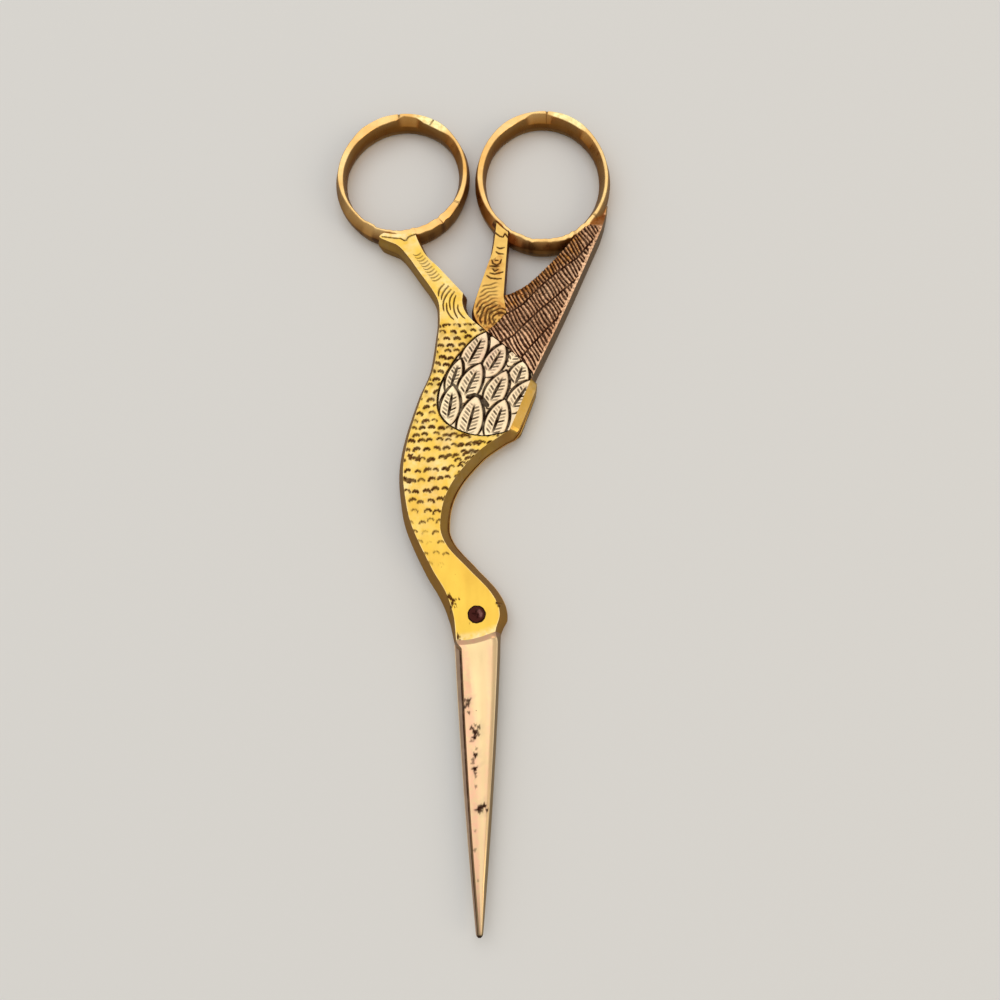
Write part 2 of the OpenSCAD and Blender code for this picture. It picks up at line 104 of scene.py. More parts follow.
table_links.new(seen.outputs["Result"], table_shader.inputs["Base Color"])
table_mesh.materials.append(table_paint)

# Front half, gilt part: head, neck, body and leg of the bird in one forging, ground flat on
# both faces, filed to a slope round its free sides and punched all over with small scales.
thickness = 3.6
# Height of the face on which this half lies on the other one
lap_z = 1.825
# Heights along the bird: the gilding's collar, the low end of the stop, the crotch, the feet
collar_y = -2.8
stop_y = 32.87
crotch_y = 40.2
foot_y = 57.5
breast_line = [
    (-2.55, -2.8), (-2.9, 0), (-3.9, 3), (-5.6, 6), (-8.35, 12), (-9.25, 15.95), (-9.6, 19.9),
    (-9.0, 24.27), (-7.2, 30.61), (-5.75, 34.56), (-5.05, 40.2), (-4.9, 42.6), (-5.3, 45.8),
    (-8.1, 50.6), (-9.94, 53.5), (-11.15, 54.9), (-12.5, 55.6), (-13.7, 56.3), (-13.5, 56.8),
    (-12, 57.6)
]
nape_line = [
    (2.3, -2.8), (2.85, 0.3), (1.8, 2.8), (-1.05, 6), (-3.75, 9.12), (-4.65, 12), (-3.5, 17.08),
    (0.4, 22.15), (4.5, 25.11)
]
wing_side_line = [(4.5, 25.11), (5.75, 28.1), (7.5, 32.42)]
junction_line = [(7.5, 32.42), (7.7, 33.63), (6.1, 35.8), (3.95, 38.09), (1.65, 40.2)]
thigh_line = [(1.65, 40.2), (0, 41.7), (-1.25, 43.3), (-1.75, 45), (-1.65, 46.5)]
shin_line = [(-1.65, 46.5), (-4.9, 50.6), (-7.26, 53.5), (-9.55, 59.5)]
# Widths of the slopes along the two sides, by height
breast_slopes = [
    (-2.8, 0.33), (0, 0.75), (3, 0.95), (8.4, 0.95), (19, 0.7), (31.7, 0.7), (44.2, 0.4)
]
nape_slopes = [
    (-2.8, 0.7), (-1, 0.95), (8.4, 0.95), (19, 0.7), (24.5, 0.7), (25.9, 1.1), (31.6, 1.1),
    (32.4, 0.95), (33.6, 0), (40.2, 0), (41, 0.35), (43.2, 0.5)
]


def through(points, y):
    """x at each height y on a smooth line through [x, y] points: a cubic between each two
    points, whose slope at a point is that of the chord between its two neighbours."""
    px, py = np.array(points, float).T
    ahead = np.minimum(np.arange(len(px)) + 1, len(px) - 1)
    behind = np.maximum(np.arange(len(px)) - 1, 0)
    slope = (px[ahead] - px[behind]) / (py[ahead] - py[behind])
    i = np.clip(np.searchsorted(py, y, "right") - 1, 0, len(px) - 2)
    h = py[i + 1] - py[i]
    t = (y - py[i]) / h
    return (px[i] * (1 + 2 * t) * (1 - t) ** 2 + slope[i] * h * t * (1 - t) ** 2
            + px[i + 1] * t * t * (3 - 2 * t) - slope[i + 1] * h * t * t * (1 - t))


def along_lines(lines, y):
    """x at each height y on a row of lines, each of which starts where the last one ends."""
    x = through(lines[0], y)
    for line in lines[1:]:
        x = np.where(y > line[0][1], through(line, np.maximum(y, line[0][1])), x)
    return x


def at(pairs, place):
    """A value that runs straight between (place, value) pairs."""
    return np.interp(place, *np.array(pairs, float).T)


def spread(*runs):
    """Heights in runs of (start, end, step), each run's start left out after the first."""
    parts = [np.linspace(a, b, max(2, int(round(abs(b - a) / step)) + 1)) for a, b, step in runs]
    return np.concatenate([parts[0]] + [p[1:] for p in parts[1:]])


def smooth(low, high, value):
    """0 below low, 1 above high and a smooth ramp between."""
    t = np.clip((value - low) / (high - low), 0, 1)
    return t * t * (3 - 2 * t)


def near_line(x, y, line):
    """Distance of each point of a grid from a line through many points."""
    best = np.full(x.shape, 1e9)
    for (ax, ay), (bx, by) in zip(line[:-1], line[1:]):
        dx, dy = bx - ax, by - ay
        t = np.clip(((x - ax) * dx + (y - ay) * dy) / (dx * dx + dy * dy), 0, 1)
        best = np.minimum(best, (x - ax - t * dx) ** 2 + (y - ay - t * dy) ** 2)
    return np.sqrt(best)


def graved(x, y, lines, width):
    """Depth share of cut lines, given by their points: each is deepest along its middle, and
    runs out towards its ends."""
    depth = np.zeros(x.shape)
    for line in lines:
        from_end = np.minimum(np.hypot(x - line[0][0], y - line[0][1]),
                              np.hypot(x - line[-1][0], y - line[-1][1]))
        w = width * (0.55 + 0.45 * smooth(0, 0.5, from_end))
        depth = np.maximum(depth, smooth(w, w * 0.2, near_line(x, y, line)))
    return depth


# Shares of (slope width, height) from the outermost edge up to the edge of the flat face
slope_profile = np.array([(1, 0), (1, 0.05), (0.985, 0.1), (0.85, 0.22), (0.6, 0.45),
                          (0.35, 0.68), (0.13, 0.89), (0.06, 0.955), (0.02, 0.99)])


def wall(x, y, slope, side, z_low, z_high, lift=0):
    """Points of a sloping side, from its outermost edge at z_low to the face's edge at
    z_high: the edge line moved square to itself by the profile's share of the slope's width.
    side is -1 on the left and 1 on the right. Where lift is 1 the slope is only half as deep
    and stands on an upright foot."""
    lean = np.gradient(x, y)
    size = np.hypot(1, lean)
    out = side * slope_profile[:, 0] * slope[:, None] / size[:, None]
    height = slope_profile[:, 1] + 0 * out
    height = height + np.reshape(lift, (-1, 1)) * 0.5 * (1 - height) * np.minimum(1, 10 * height)
    z = z_low + height * (z_high - z_low)
    return np.stack([x[:, None] + out, y[:, None] - lean[:, None] * out, z], -1)


def face(x_left, x_right, y, z, count):
    """Points straight across a flat face, crowded a little towards its two edges."""
    u = np.linspace(0, 1, count)
    u = u - 0.35 * np.sin(2 * np.pi * u) / (2 * np.pi)
    x = x_left[:, None] + (x_right - x_left)[:, None] * u
    return np.stack([x, y[:, None] + 0 * x, z + 0 * x], -1)


def sheet_faces(rows, columns):
    """Quads of a grid whose points are numbered row by row, closed round from column to
    column."""
    number = np.arange(rows * columns).reshape(rows, columns)
    number = np.concatenate([number, number[:, :1]], 1)
    return np.stack([number[:-1, :-1], number[:-1, 1:], number[1:, 1:], number[1:, :-1]],
                    -1).reshape(-1, 4)


def make_piece(name, points, quads, caps, masks, body, material, node, slot, crease=38):
    """A smooth shaded object from points in millimetres, with its finish, riding on a body
    and standing for a solid. masks are values from 0 to 1 at the points, which its material
    reads by name, and edges over the crease angle stay sharp."""
    mesh = bpy.data.meshes.new(name)
    mesh.from_pydata((points.reshape(-1, 3) * 0.001).tolist(), [], quads.tolist() + caps)
    for mask, values in masks.items():
        layer = mesh.attributes.new(mask, "FLOAT", "POINT")
        layer.data.foreach_set("value", np.clip(values, 0, 1).astype(np.float32).ravel())
    mesh.shade_smooth()
    mesh.set_sharp_from_angle(angle=math.radians(crease))
    mesh.materials.append(material)
    piece = bpy.data.objects.new(name, mesh)
    bpy.context.scene.collection.objects.link(piece)
    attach(piece, body)
    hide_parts(node)


def make_bar(name, loops, masks, *finish):
    """A closed bar from rows of closed loops, with a flat cap on each end. finish is its
    body, its material, its solid and its slot, which is not used."""
    rows, columns = loops.shape[:2]
    first = list(range(columns))[::-1]
    last = [(rows - 1) * columns + k for k in range(columns)]
    make_piece(name, loops, sheet_faces(rows, columns), [first, last], masks, *finish)


def closed_end(loops, masks, row):
    """The loops and masks with one more row before the first, or after the last: the same
    row pressed down, so that an end that bends is closed by an upright strip."""
    end = loops[row].copy()
    end[:, 1] += 0.01 if row else -0.01
    end[:, 2] = np.minimum(end[:, 2], lap_z + 0.3)
    place = len(loops) if row else 0
    return (np.insert(loops, place, end, 0),
            {mask: np.insert(values, place, values[row], 0) for mask, values in masks.items()})


def turned_over(loops, masks):
    """The same loops and masks on the back half: each height counted from the other face,
    and the order round the loops reversed, so that they still turn the same way."""
    under = loops.copy()
    under[..., 2] = thickness - under[..., 2]
    return under[:, ::-1], {mask: values[:, ::-1] for mask, values in masks.items()}


# Outline of the wing, from its round foot up to its point at the crotch
wing_foot_y = 24.48
wing_left_line = [
    (0.86, 24.48), (-0.87, 24.82), (-2.61, 25.6), (-3.96, 26.6), (-4.84, 28.04), (-5.06, 29.84),
    (-4.73, 31.95), (-3.58, 34.51), (-1.93, 37.1), (0.15, 39.38), (1.63, 40.2)
]
wing_foot_line = [(0.86, 24.48), (2.33, 24.58), (3.74, 24.9), (4.4, 25.15)]
wing_sunk = 0.4


def wing_ring():
    """Points along the groove round the wing, from its point down the left and round its
    foot to the right."""
    fine = np.linspace(crotch_y, 24.5, 90)
    side = np.stack([through(wing_left_line, fine), fine], -1)
    return np.concatenate([side, np.array(wing_foot_line, float)])


def in_wing(x, y):
    """True inside the wing's outline."""
    left = through(wing_left_line, np.clip(y, wing_foot_y, crotch_y))
    beyond_foot = (x < wing_foot_line[0][0]) | (y > at(wing_foot_line, x))
    return (x > left) & (y > wing_foot_y) & (y < crotch_y) & beyond_foot


# Depths of the marks, and the heights over which the scales run out on the thigh
scale_deep, cut_deep, pit_deep, seat_deep = 0.15, 0.09, 0.07, 0.3
scales_end = (41.9, 41.4)
# Rows of scale marks: first and last height, row pitch, column pitch, first and last x
scale_fields = [
    (6.6, 22.9, 1.44, 1.3, -11, -3.6), (12.6, 22.9, 1.44, 1.15, -3.6, 0.5),
    (23.7, 25.9, 0.95, 1.25, -11, 5), (26.8, 41.7, 1.04, 1.42, -11, 2),
    (18.9, 23.2, 0.9, 1.05, -2.2, 3.5)
]


def punched_scales(x, y):
    """Depth of the scale marks: each is an arch that opens towards the blades, dark under its
    crown. They lie in staggered rows, crowded beside the wing, and fade on the neck."""
    depth = np.zeros(x.shape)
    rng = np.random.default_rng(7)
    for low, high, row_pitch, pitch, first_x, last_x in scale_fields:
        for row, row_y in enumerate(np.arange(low, high, row_pitch)):
            for column_x in np.arange(first_x, last_x, pitch) + 0.5 * pitch * (row % 2):
                cx = column_x + rng.uniform(-0.22, 0.22)
                cy = row_y + 0.1 * max(0, cx + 6) * (24 > row_y > 14) + rng.uniform(-0.2, 0.2)
                strength = rng.uniform(0.5, 1) * (0.4 + 0.6 * smooth(9, 20, cy))
                size = min(0.47, pitch * 0.4) * rng.uniform(0.85, 1.2)
                tilt = rng.uniform(-0.4, 0.4)
                filled = rng.uniform(0.4, 1)
                near = (abs(x - cx) < 0.8) & (abs(y - cy) < 0.8)
                dx, dy = x[near] - cx, y[near] - cy
                u = (dx * math.cos(tilt) + dy * math.sin(tilt)) / size
                v = (dy * math.cos(tilt) - dx * math.sin(tilt)) / size
                ragged = 0.14 * np.sin(8 * u + 5 * cx) * np.sin(7 * v + 3 * cy)
                r = np.hypot(u, v * 1.2) + ragged
                arch = np.exp(-((r - 0.76) / 0.29) ** 2) * smooth(-0.6, 0.15, v)
                pit = smooth(-0.45, 0.4, v + ragged) * smooth(0.95, 0.6, r) * filled
                depth[near] = np.maximum(depth[near], strength * np.maximum(arch, pit))
    return depth


def blots(x, y, places):
    """Rough pits, each given by its middle, its radius and how deep it is."""
    depth = np.zeros(x.shape)
    for px, py, radius, deep in places:
        turn = np.arctan2(y - py, x - px)
        lobes = 0.2 * np.sin(3 * turn + 9 * px) + 0.2 * np.sin(5 * turn + 7 * py)
        r = np.hypot(x - px, y - py) * (1 + lobes)
        depth = np.maximum(depth, deep * smooth(radius, radius * 0.5, r))
    return depth


# Cuts on the leg: rows of short arcs across the shin, and long strokes down the thigh
shin_arcs = [[(-8.75 + 0.3 * k + (1.05 + 0.03 * k) * t,
               53.15 - 0.485 * k + (0.3 + 0.03 * k) * t * t - 0.16 * math.sin(math.pi * t))
              for t in (0, 0.15, 0.3, 0.45, 0.6, 0.75, 0.9, 1)] for k in range(10)]
thigh_strokes = [
    [(-4.3, 48.1), (-4.7, 47.7), (-5, 47.2), (-5.1, 46.6), (-5.1, 46.2)],
    [(-3.65, 47.8), (-4.1, 47.3), (-4.45, 46.7), (-4.65, 46.1), (-4.7, 45.6)],
    [(-3.3, 47.2), (-3.75, 46.7), (-4.1, 46.05), (-4.35, 45.4), (-4.45, 44.7), (-4.4, 44.1),
     (-4.3, 43.7)],
    [(-2.85, 46.8), (-3.2, 46.3), (-3.45, 45.75), (-3.55, 45.1), (-3.5, 44.5), (-3.4, 43.9)],
    [(-3.95, 45), (-3.95, 44.4), (-3.9, 43.8), (-3.7, 43.3), (-3.35, 42.7), (-2.95, 42.3)],
    [(-2.65, 46.15), (-2.85, 45.6), (-2.95, 44.9), (-2.95, 44.2), (-2.85, 43.55), (-2.65, 43),
     (-2.4, 42.5)],
    [(-2.35, 44.6), (-2.4, 44.1), (-2.25, 43.55), (-1.95, 43.05), (-1.65, 42.65), (-1.35, 42.4)]
]
front_seam = [
    (-13.4, 56.45), (-11.5, 56.1), (-10.75, 56.05), (-10.15, 55.65), (-9.85, 55.7),
    (-9.6, 56.2), (-9.15, 56.45), (-7.9, 56.9)
]
head_pits = [
    (-3.45, 2.45, 0.3, 1), (-3.25, 2.15, 0.25, 1), (-2.95, 1.9, 0.25, 1),
    (-2.6, 1.95, 0.13, 0.9), (-2.2, 2.05, 0.13, 0.9), (-3, 1.5, 0.25, 1),
    (-2.65, 1.35, 0.14, 0.9), (-3.2, 1.05, 0.22, 1), (-2.75, 0.95, 0.13, 0.9),
    (-2.45, 1.1, 0.1, 0.8), (-3.3, 0.5, 0.2, 0.6), (2.5, 1.4, 0.22, 1), (2.85, 1.05, 0.2, 1),
    (-2.35, -2.5, 0.2, 1), (-2.1, -2.75, 0.12, 0.8), (-0.9, -1.1, 0.07, 0.6),
    (-7.6, 21.3, 0.5, 0.7), (-8.7, 21.7, 0.45, 0.7), (-8.9, 18.2, 0.45, 1)
]

body_y = spread((collar_y, 8, 0.2), (8, 41.6, 0.1), (41.6, foot_y, 0.12))
body_right = along_lines([nape_line, wing_side_line, junction_line, thigh_line, shin_line],
                         body_y) - 0.16 * np.exp(-((body_y - 1.4) / 0.12) ** 2)
body_left = through(breast_line, body_y)


def collar_bend(x, y):
    """How far the collar's line, and the rows near it, bow away from straight: it dips on
    the edge side, and rises on the spine side."""
    return (0.33 * (x / 2.4) - 0.35 * np.cos(x * 0.62 + 0.55) + 0.12) * smooth(0.2, -2.8, y)


def body_relief(x, y, across):
    """Depth and soil of the gilt face: the scales, the cuts on the leg, a few pits, the sunk
    bed of the wing and the rivet's seat. across is 0 and 1 at the face's edges, where no
    scale is cut."""
    ring = near_line(x, y, wing_ring())
    inside = in_wing(x, y)
    bed = np.where(inside, 1, smooth(0.2, 0.06, ring) * (y < 40.4))
    scales = punched_scales(x, y) * ~inside * smooth(0.12, 0.3, ring) * smooth(*scales_end, y)
    scales = scales * smooth(0.0, 0.02, across) * smooth(1, 0.98, across)
    cuts = np.maximum(0.65 * graved(x, y, shin_arcs, 0.14), graved(x, y, thigh_strokes, 0.14))
    cuts = np.maximum(cuts, graved(x, y, [front_seam], 0.14))
    pits = blots(x, y, head_pits)
    seat = smooth(0.98, 0.9, np.hypot(x, y))
    depth = np.maximum(np.maximum(scale_deep * scales, cut_deep * cuts), pit_deep * pits)
    soil = np.maximum(smooth(0.08, 0.45, scales), 0.9 * smooth(0.1, 0.7, cuts))
    soil = np.maximum(soil, smooth(0.1, 0.6, pits))
    cloud = np.sin(2.1 * x + 1.3 * y) * np.sin(1.7 * y - 1.1 * x)
    cloud = cloud + 0.6 * np.sin(4.3 * x - 3.1 * y)
    stains = 0.22 * smooth(-0.4, 1, cloud) * smooth(21, 27, y) * smooth(*scales_end, y)
    soil = np.maximum(soil, stains)
    return np.maximum(depth, wing_sunk * bed) + seat_deep * seat, np.maximum(soil, bed)


def layer_loops(left, right, y, left_slope, right_slope, count, relief):
    """Loops of one lapped layer: its two sloping walls, the face with its relief between
    them, and the flat face that lies on the other half. The masks go with the points: the
    side mask is painted shade on the walls and the lap face, and a painted highlight runs
    along the face's edges."""
    wing_side = smooth(25.0, 25.5, y) * smooth(33, 32.6, y)
    walls = [wall(left, y, left_slope, -1, lap_z, thickness),
             wall(right, y, right_slope, 1, lap_z, thickness, wing_side)[:, ::-1]]
    top = face(left, right, y, thickness, count)
    across = np.linspace(0, 1, count) + 0 * top[..., 0]
    depth, soil = relief(top[..., 0], top[..., 1], across)
    top[..., 2] -= depth
    t = np.array([0.012, 0.25, 0.75, 0.988])[:, None]
    lap = walls[1][:, -1:] * (1 - t) + walls[0][:, :1] * t
    loops = np.concatenate([walls[0], top, walls[1], lap], 1)
    # Painted shade on the walls and the lap face, from the side mask. The right wall is painted
    # lighter beside the wing and along the nape, and so is the leg's left wall at mid height:
    # painted light.
    side = np.ones(walls[0].shape[:2])
    lit_nape = smooth(8, 12, y) * smooth(25, 23, y)
    right_wall_shade = side * (1 - 0.6 * wing_side - 0.45 * lit_nape)[:, None]
    gap_soil = np.array([1, 0.5, 0.5, 1]) + 0 * lap[..., 0]
    soils = np.concatenate([0 * side, soil, 0 * side, gap_soil], 1)
    middle = np.sin(np.pi * slope_profile[:, 1]) * smooth(42, 47, y)[:, None]
    sides = np.concatenate([side - 0.45 * middle, 0 * soil, right_wall_shade, 1 + 0 * lap[..., 0]], 1)
    from_edge = np.minimum(across, 1 - across) * (right - left)[:, None]
    # Painted highlight: the face is paler within about 0.17 mm of its edges.
    rim = smooth(0.17, 0.05, from_edge) * (from_edge > 0)
    worn = np.concatenate([0 * side, rim, 0 * side, 0 * lap[..., 0]], 1)
    return loops, {"soil": soils, "side": sides, "worn": worn}


def body_wear(loops):
    """Where the gilding is pale: on the scaled body and the leg in patches, in a line just
    above the collar, and on the flat beyond the foot's seam."""
    x, y = loops[..., 0], loops[..., 1]
    collar = smooth(1.1, 0.2, y - collar_y - collar_bend(x, y * 0 + collar_y))
    patches = 0.55 + 0.45 * np.sin(1.3 * x + 0.4 * y) * np.sin(0.9 * y - 0.5 * x)
    ring_flat = smooth(0, 0.15, y - at(front_seam, x))
    return np.maximum(np.maximum(collar, ring_flat), 0.75 * patches * smooth(5, 20, y))


def ring_frame(middle, half, angle):
    """Points on a band's middle line and the unit directions out of its oval there."""
    point = np.stack([middle[0] + half[0] * np.cos(angle),
                      middle[1] + half[1] * np.sin(angle)], -1)
    out = np.stack([np.cos(angle) / half[0], np.sin(angle) / half[1]], -1)
    return point, out / np.linalg.norm(out, axis=-1, keepdims=True)


band_w, band_h = 1.6, 3.3
# Middle and half sizes of the oval that each ring's band follows
front_oval = (-10.75, 67.55), (9.25, 10.55)
back_oval = (10.15, 66.3), (9.25, 11.5)


def seated(loops, middle, half):
    """The loops with each point inside a finger ring moved out to the ring's outer wall."""
    dx, dy = loops[..., 0] - middle[0], loops[..., 1] - middle[1]
    point, out = ring_frame(middle, half, np.arctan2(dy / half[1], dx / half[0]))
    reach = ((loops[..., :2] - point) * out).sum(-1)
    level = abs(loops[..., 2] - thickness / 2) / (band_h / 2)
    wall_r = at([(0, 0.7), (0.24, 0.7), (1, 0.25)], level)
    loops = loops.copy()
    loops[..., :2] += out * np.maximum(wall_r - reach, 0)[..., None]
    return loops


def plated_steel(name, bright, dull, stain_and_shade, shade_and_haze_tint, worn, roughness, clouds, pits=0,
                 grain=(1, 1, 1)):
    """Plate over polished steel. The colour runs from bright to dull in soft clouds, and to
    the worn colour where the worn mask says: real wear, and on some parts painted light
    or shade. It runs to the stained colour in small pits and where the soil mask says: in
    the cut hollows and rust, and on some parts as a painted shadow. The side mask paints
    shade on the filed sides with the tint for the sides, and on the blades the haze round
    rust too. Fine scratches, drawn out where the grain is under 1, change the gloss and
    the bump."""
    material = bpy.data.materials.new(name)
    material.use_nodes = True
    nodes, links = material.node_tree.nodes, material.node_tree.links
    shader = nodes["Principled BSDF"]
    place = nodes.new("ShaderNodeTexCoord").outputs["Object"]

    def noise(scale, detail, stretch=(1, 1, 1)):
        """Noise at a scale in cycles per metre, stretched along the axes."""
        mapping = nodes.new("ShaderNodeMapping")
        mapping.inputs["Scale"].default_value = stretch
        links.new(place, mapping.inputs["Vector"])
        texture = nodes.new("ShaderNodeTexNoise")
        texture.inputs["Scale"].default_value = scale
        texture.inputs["Detail"].default_value = detail
        links.new(mapping.outputs["Vector"], texture.inputs["Vector"])
        return texture.outputs["Fac"]

    def ramp(value, low, high, to_low=0.0, to_high=1.0):
        """value brought from the span low to high to the span to_low to to_high."""
        node = nodes.new("ShaderNodeMapRange")
        for socket, number in zip(("From Min", "From Max", "To Min", "To Max"),
                                  (low, high, to_low, to_high)):
            node.inputs[socket].default_value = number
        links.new(value, node.inputs["Value"])
        return node.outputs["Result"]

    def mask(attribute):
        """One of the mesh's own masks."""
        node = nodes.new("ShaderNodeAttribute")
        node.attribute_name = attribute
        return node.outputs["Fac"]

    def mix(share, first, second):
        """The first colour, with a share of the second over it."""
        node = nodes.new("ShaderNodeMix")
        node.data_type = "RGBA"
        for socket, colour in ((node.inputs["A"], first), (node.inputs["B"], second)):
            if isinstance(colour, tuple):
                socket.default_value = (*colour, 1)
            else:
                links.new(colour, socket)
        links.new(share, node.inputs["Factor"])
        return node.outputs["Result"]

    def multiply(first, second):
        """Product of two values."""
        node = nodes.new("ShaderNodeMath")
        node.operation = "MULTIPLY"
        links.new(first, node.inputs[0])
        links.new(second, node.inputs[1])
        return node.outputs["Value"]

    colour = mix(ramp(noise(170, 5), 0.5 - clouds / 2, 0.75), bright, dull)
    # This mask is real wear, and on some parts painted highlights, painted light or painted shade:
    # the face's edges, the blade's slope and ramp, the tail's fall, the ring tops and the rivet.
    colour = mix(multiply(mask("worn"), ramp(noise(1500, 5), 0.3, 0.6, 0.1, 1)), colour, worn)
    colour = mix(multiply(mask("side"), ramp(noise(420, 4), 0.3, 0.7, 0.85, 1)), colour, shade_and_haze_tint)
    colour = mix(ramp(noise(2600, 2), 0.76 - pits, 0.84 - pits), colour, stain_and_shade)
    # This mask darkens real stains, rust and cut hollows, and also carries painted shadows: on the
    # blades' laps and among the feathers.
    soil = multiply(mask("soil"), ramp(noise(900, 3), 0.25, 0.55, 0.82, 1))
    colour = mix(soil, colour, stain_and_shade)
    links.new(colour, shader.inputs["Base Color"])
    shader.inputs["Metallic"].default_value = 1
    scratches = noise(900, 4, grain)
    links.new(ramp(scratches, 0.3, 0.7, roughness - 0.07, roughness + 0.1),
              shader.inputs["Roughness"])
    bump = nodes.new("ShaderNodeBump")
    bump.inputs["Strength"].default_value = 0.3
    bump.inputs["Distance"].default_value = 0.00005
    links.new(scratches, bump.inputs["Height"])
    links.new(bump.outputs["Normal"], shader.inputs["Normal"])
    return material


# The gilt's side tint is painted shade on the filed sides. Its worn colour is real wear, and also
# a painted highlight along the edges of the face.
gilt = plated_steel("gilt", bright=(0.84, 0.56, 0.088), dull=(0.76, 0.46, 0.07),
                    stain_and_shade=(0.075, 0.024, 0.006), shade_and_haze_tint=(0.62, 0.33, 0.085),
                    worn=(0.90, 0.71, 0.36), roughness=0.34, clouds=0.25, grain=(1, 0.15, 1))


def gilt_body(left, right, y, left_slope, right_slope, wall_pits):
    """Loops and masks of a half's gilt layer, with its collar bent and closed, its wear, and
    the pits that run on down its walls."""
    loops, masks = layer_loops(left, right, y, left_slope, right_slope, 140, body_relief)
    loops[..., 1] += collar_bend(loops[..., 0], loops[..., 1])
    masks["worn"] = np.maximum(masks["worn"], body_wear(loops))
    masks["soil"] = np.maximum(masks["soil"], blots(loops[..., 0], loops[..., 1], wall_pits))
    return closed_end(loops, masks, 0)


front_loops, front_masks = gilt_body(body_left, body_right, body_y, at(breast_slopes, body_y),
                                     at(nape_slopes, body_y), head_pits)
make_bar("front_body", seated(front_loops, *front_oval), front_masks, "front", gilt,
         "front_half", "gilt")

# Lower layer of the front leg: below the crotch it runs on under the body, as far as the
# stop that the back half's body closes against.
stop_ends = [(stop_y, -7.05), (crotch_y, 1.65)]
root_y = 33.9


def under_relief(x, y, across):
    """The cuts and scales of the leg's other face, without the wing's bed."""
    cuts = np.maximum(0.8 * graved(x, y, shin_arcs, 0.13), graved(x, y, thigh_strokes, 0.15))
    scales = punched_scales(x, y) * smooth(*scales_end, y)
    scales = scales * smooth(0, 0.03, across) * smooth(1, 0.97, across)
    return (np.maximum(scale_deep * scales, cut_deep * cuts),
            np.maximum(smooth(0.1, 0.8, scales), 0.85 * smooth(0.1, 0.8, cuts)))


root_rows = spread((root_y, crotch_y, 0.12), (crotch_y, foot_y, 0.12))
root_right = np.where(root_rows < crotch_y, at(stop_ends, root_rows) - 0.1,
                      along_lines([thigh_line, shin_line], root_rows))
root_left = np.minimum(through(breast_line, root_rows), root_right - 0.03)
root_loops, root_masks = turned_over(*layer_loops(
    root_left, root_right, root_rows, at(breast_slopes, root_rows),
    at([(crotch_y, 0), (43.2, 0.4)], root_rows), 80, under_relief))
root_loops[..., 2] = np.minimum(root_loops[..., 2], lap_z)
make_bar("front_leg_root", seated(root_loops, *front_oval), root_masks, "front", gilt,
         "front_half", "gilt")

# Wing: the one bare, silver coloured patch on each half. Its leaf-shaped feathers are cut
# with a graver, with a rib down the middle and barbs on both sides, and blackened.
feathers = [
    ((1.7, 37.0), (3.1, 39.5), 2.4), ((4.6, 34.8), (6.1, 37.2), 2.2),
    ((-1.5, 34.0), (1.4, 40.4), 3.1), ((1.3, 33.2), (4.0, 38.2), 2.8),
    ((5.0, 31.2), (6.8, 35.4), 2.9), ((-3.8, 30.8), (-1.9, 36.0), 2.1),
    ((-1.9, 29.4), (0.8, 35.2), 3.0), ((1.7, 28.5), (4.2, 34.0), 2.9),
    ((4.6, 27.6), (7.4, 32.5), 2.8), ((-3.9, 26.0), (-3.1, 32.0), 2.7),
    ((-1.7, 23.6), (0.25, 30.3), 3.4), ((1.7, 23.7), (4.1, 29.6), 3.1)
]
wing_top_y = 40.19
barb_deep, midrib_deep, groove_z = 0.09, 0.12, -0.28


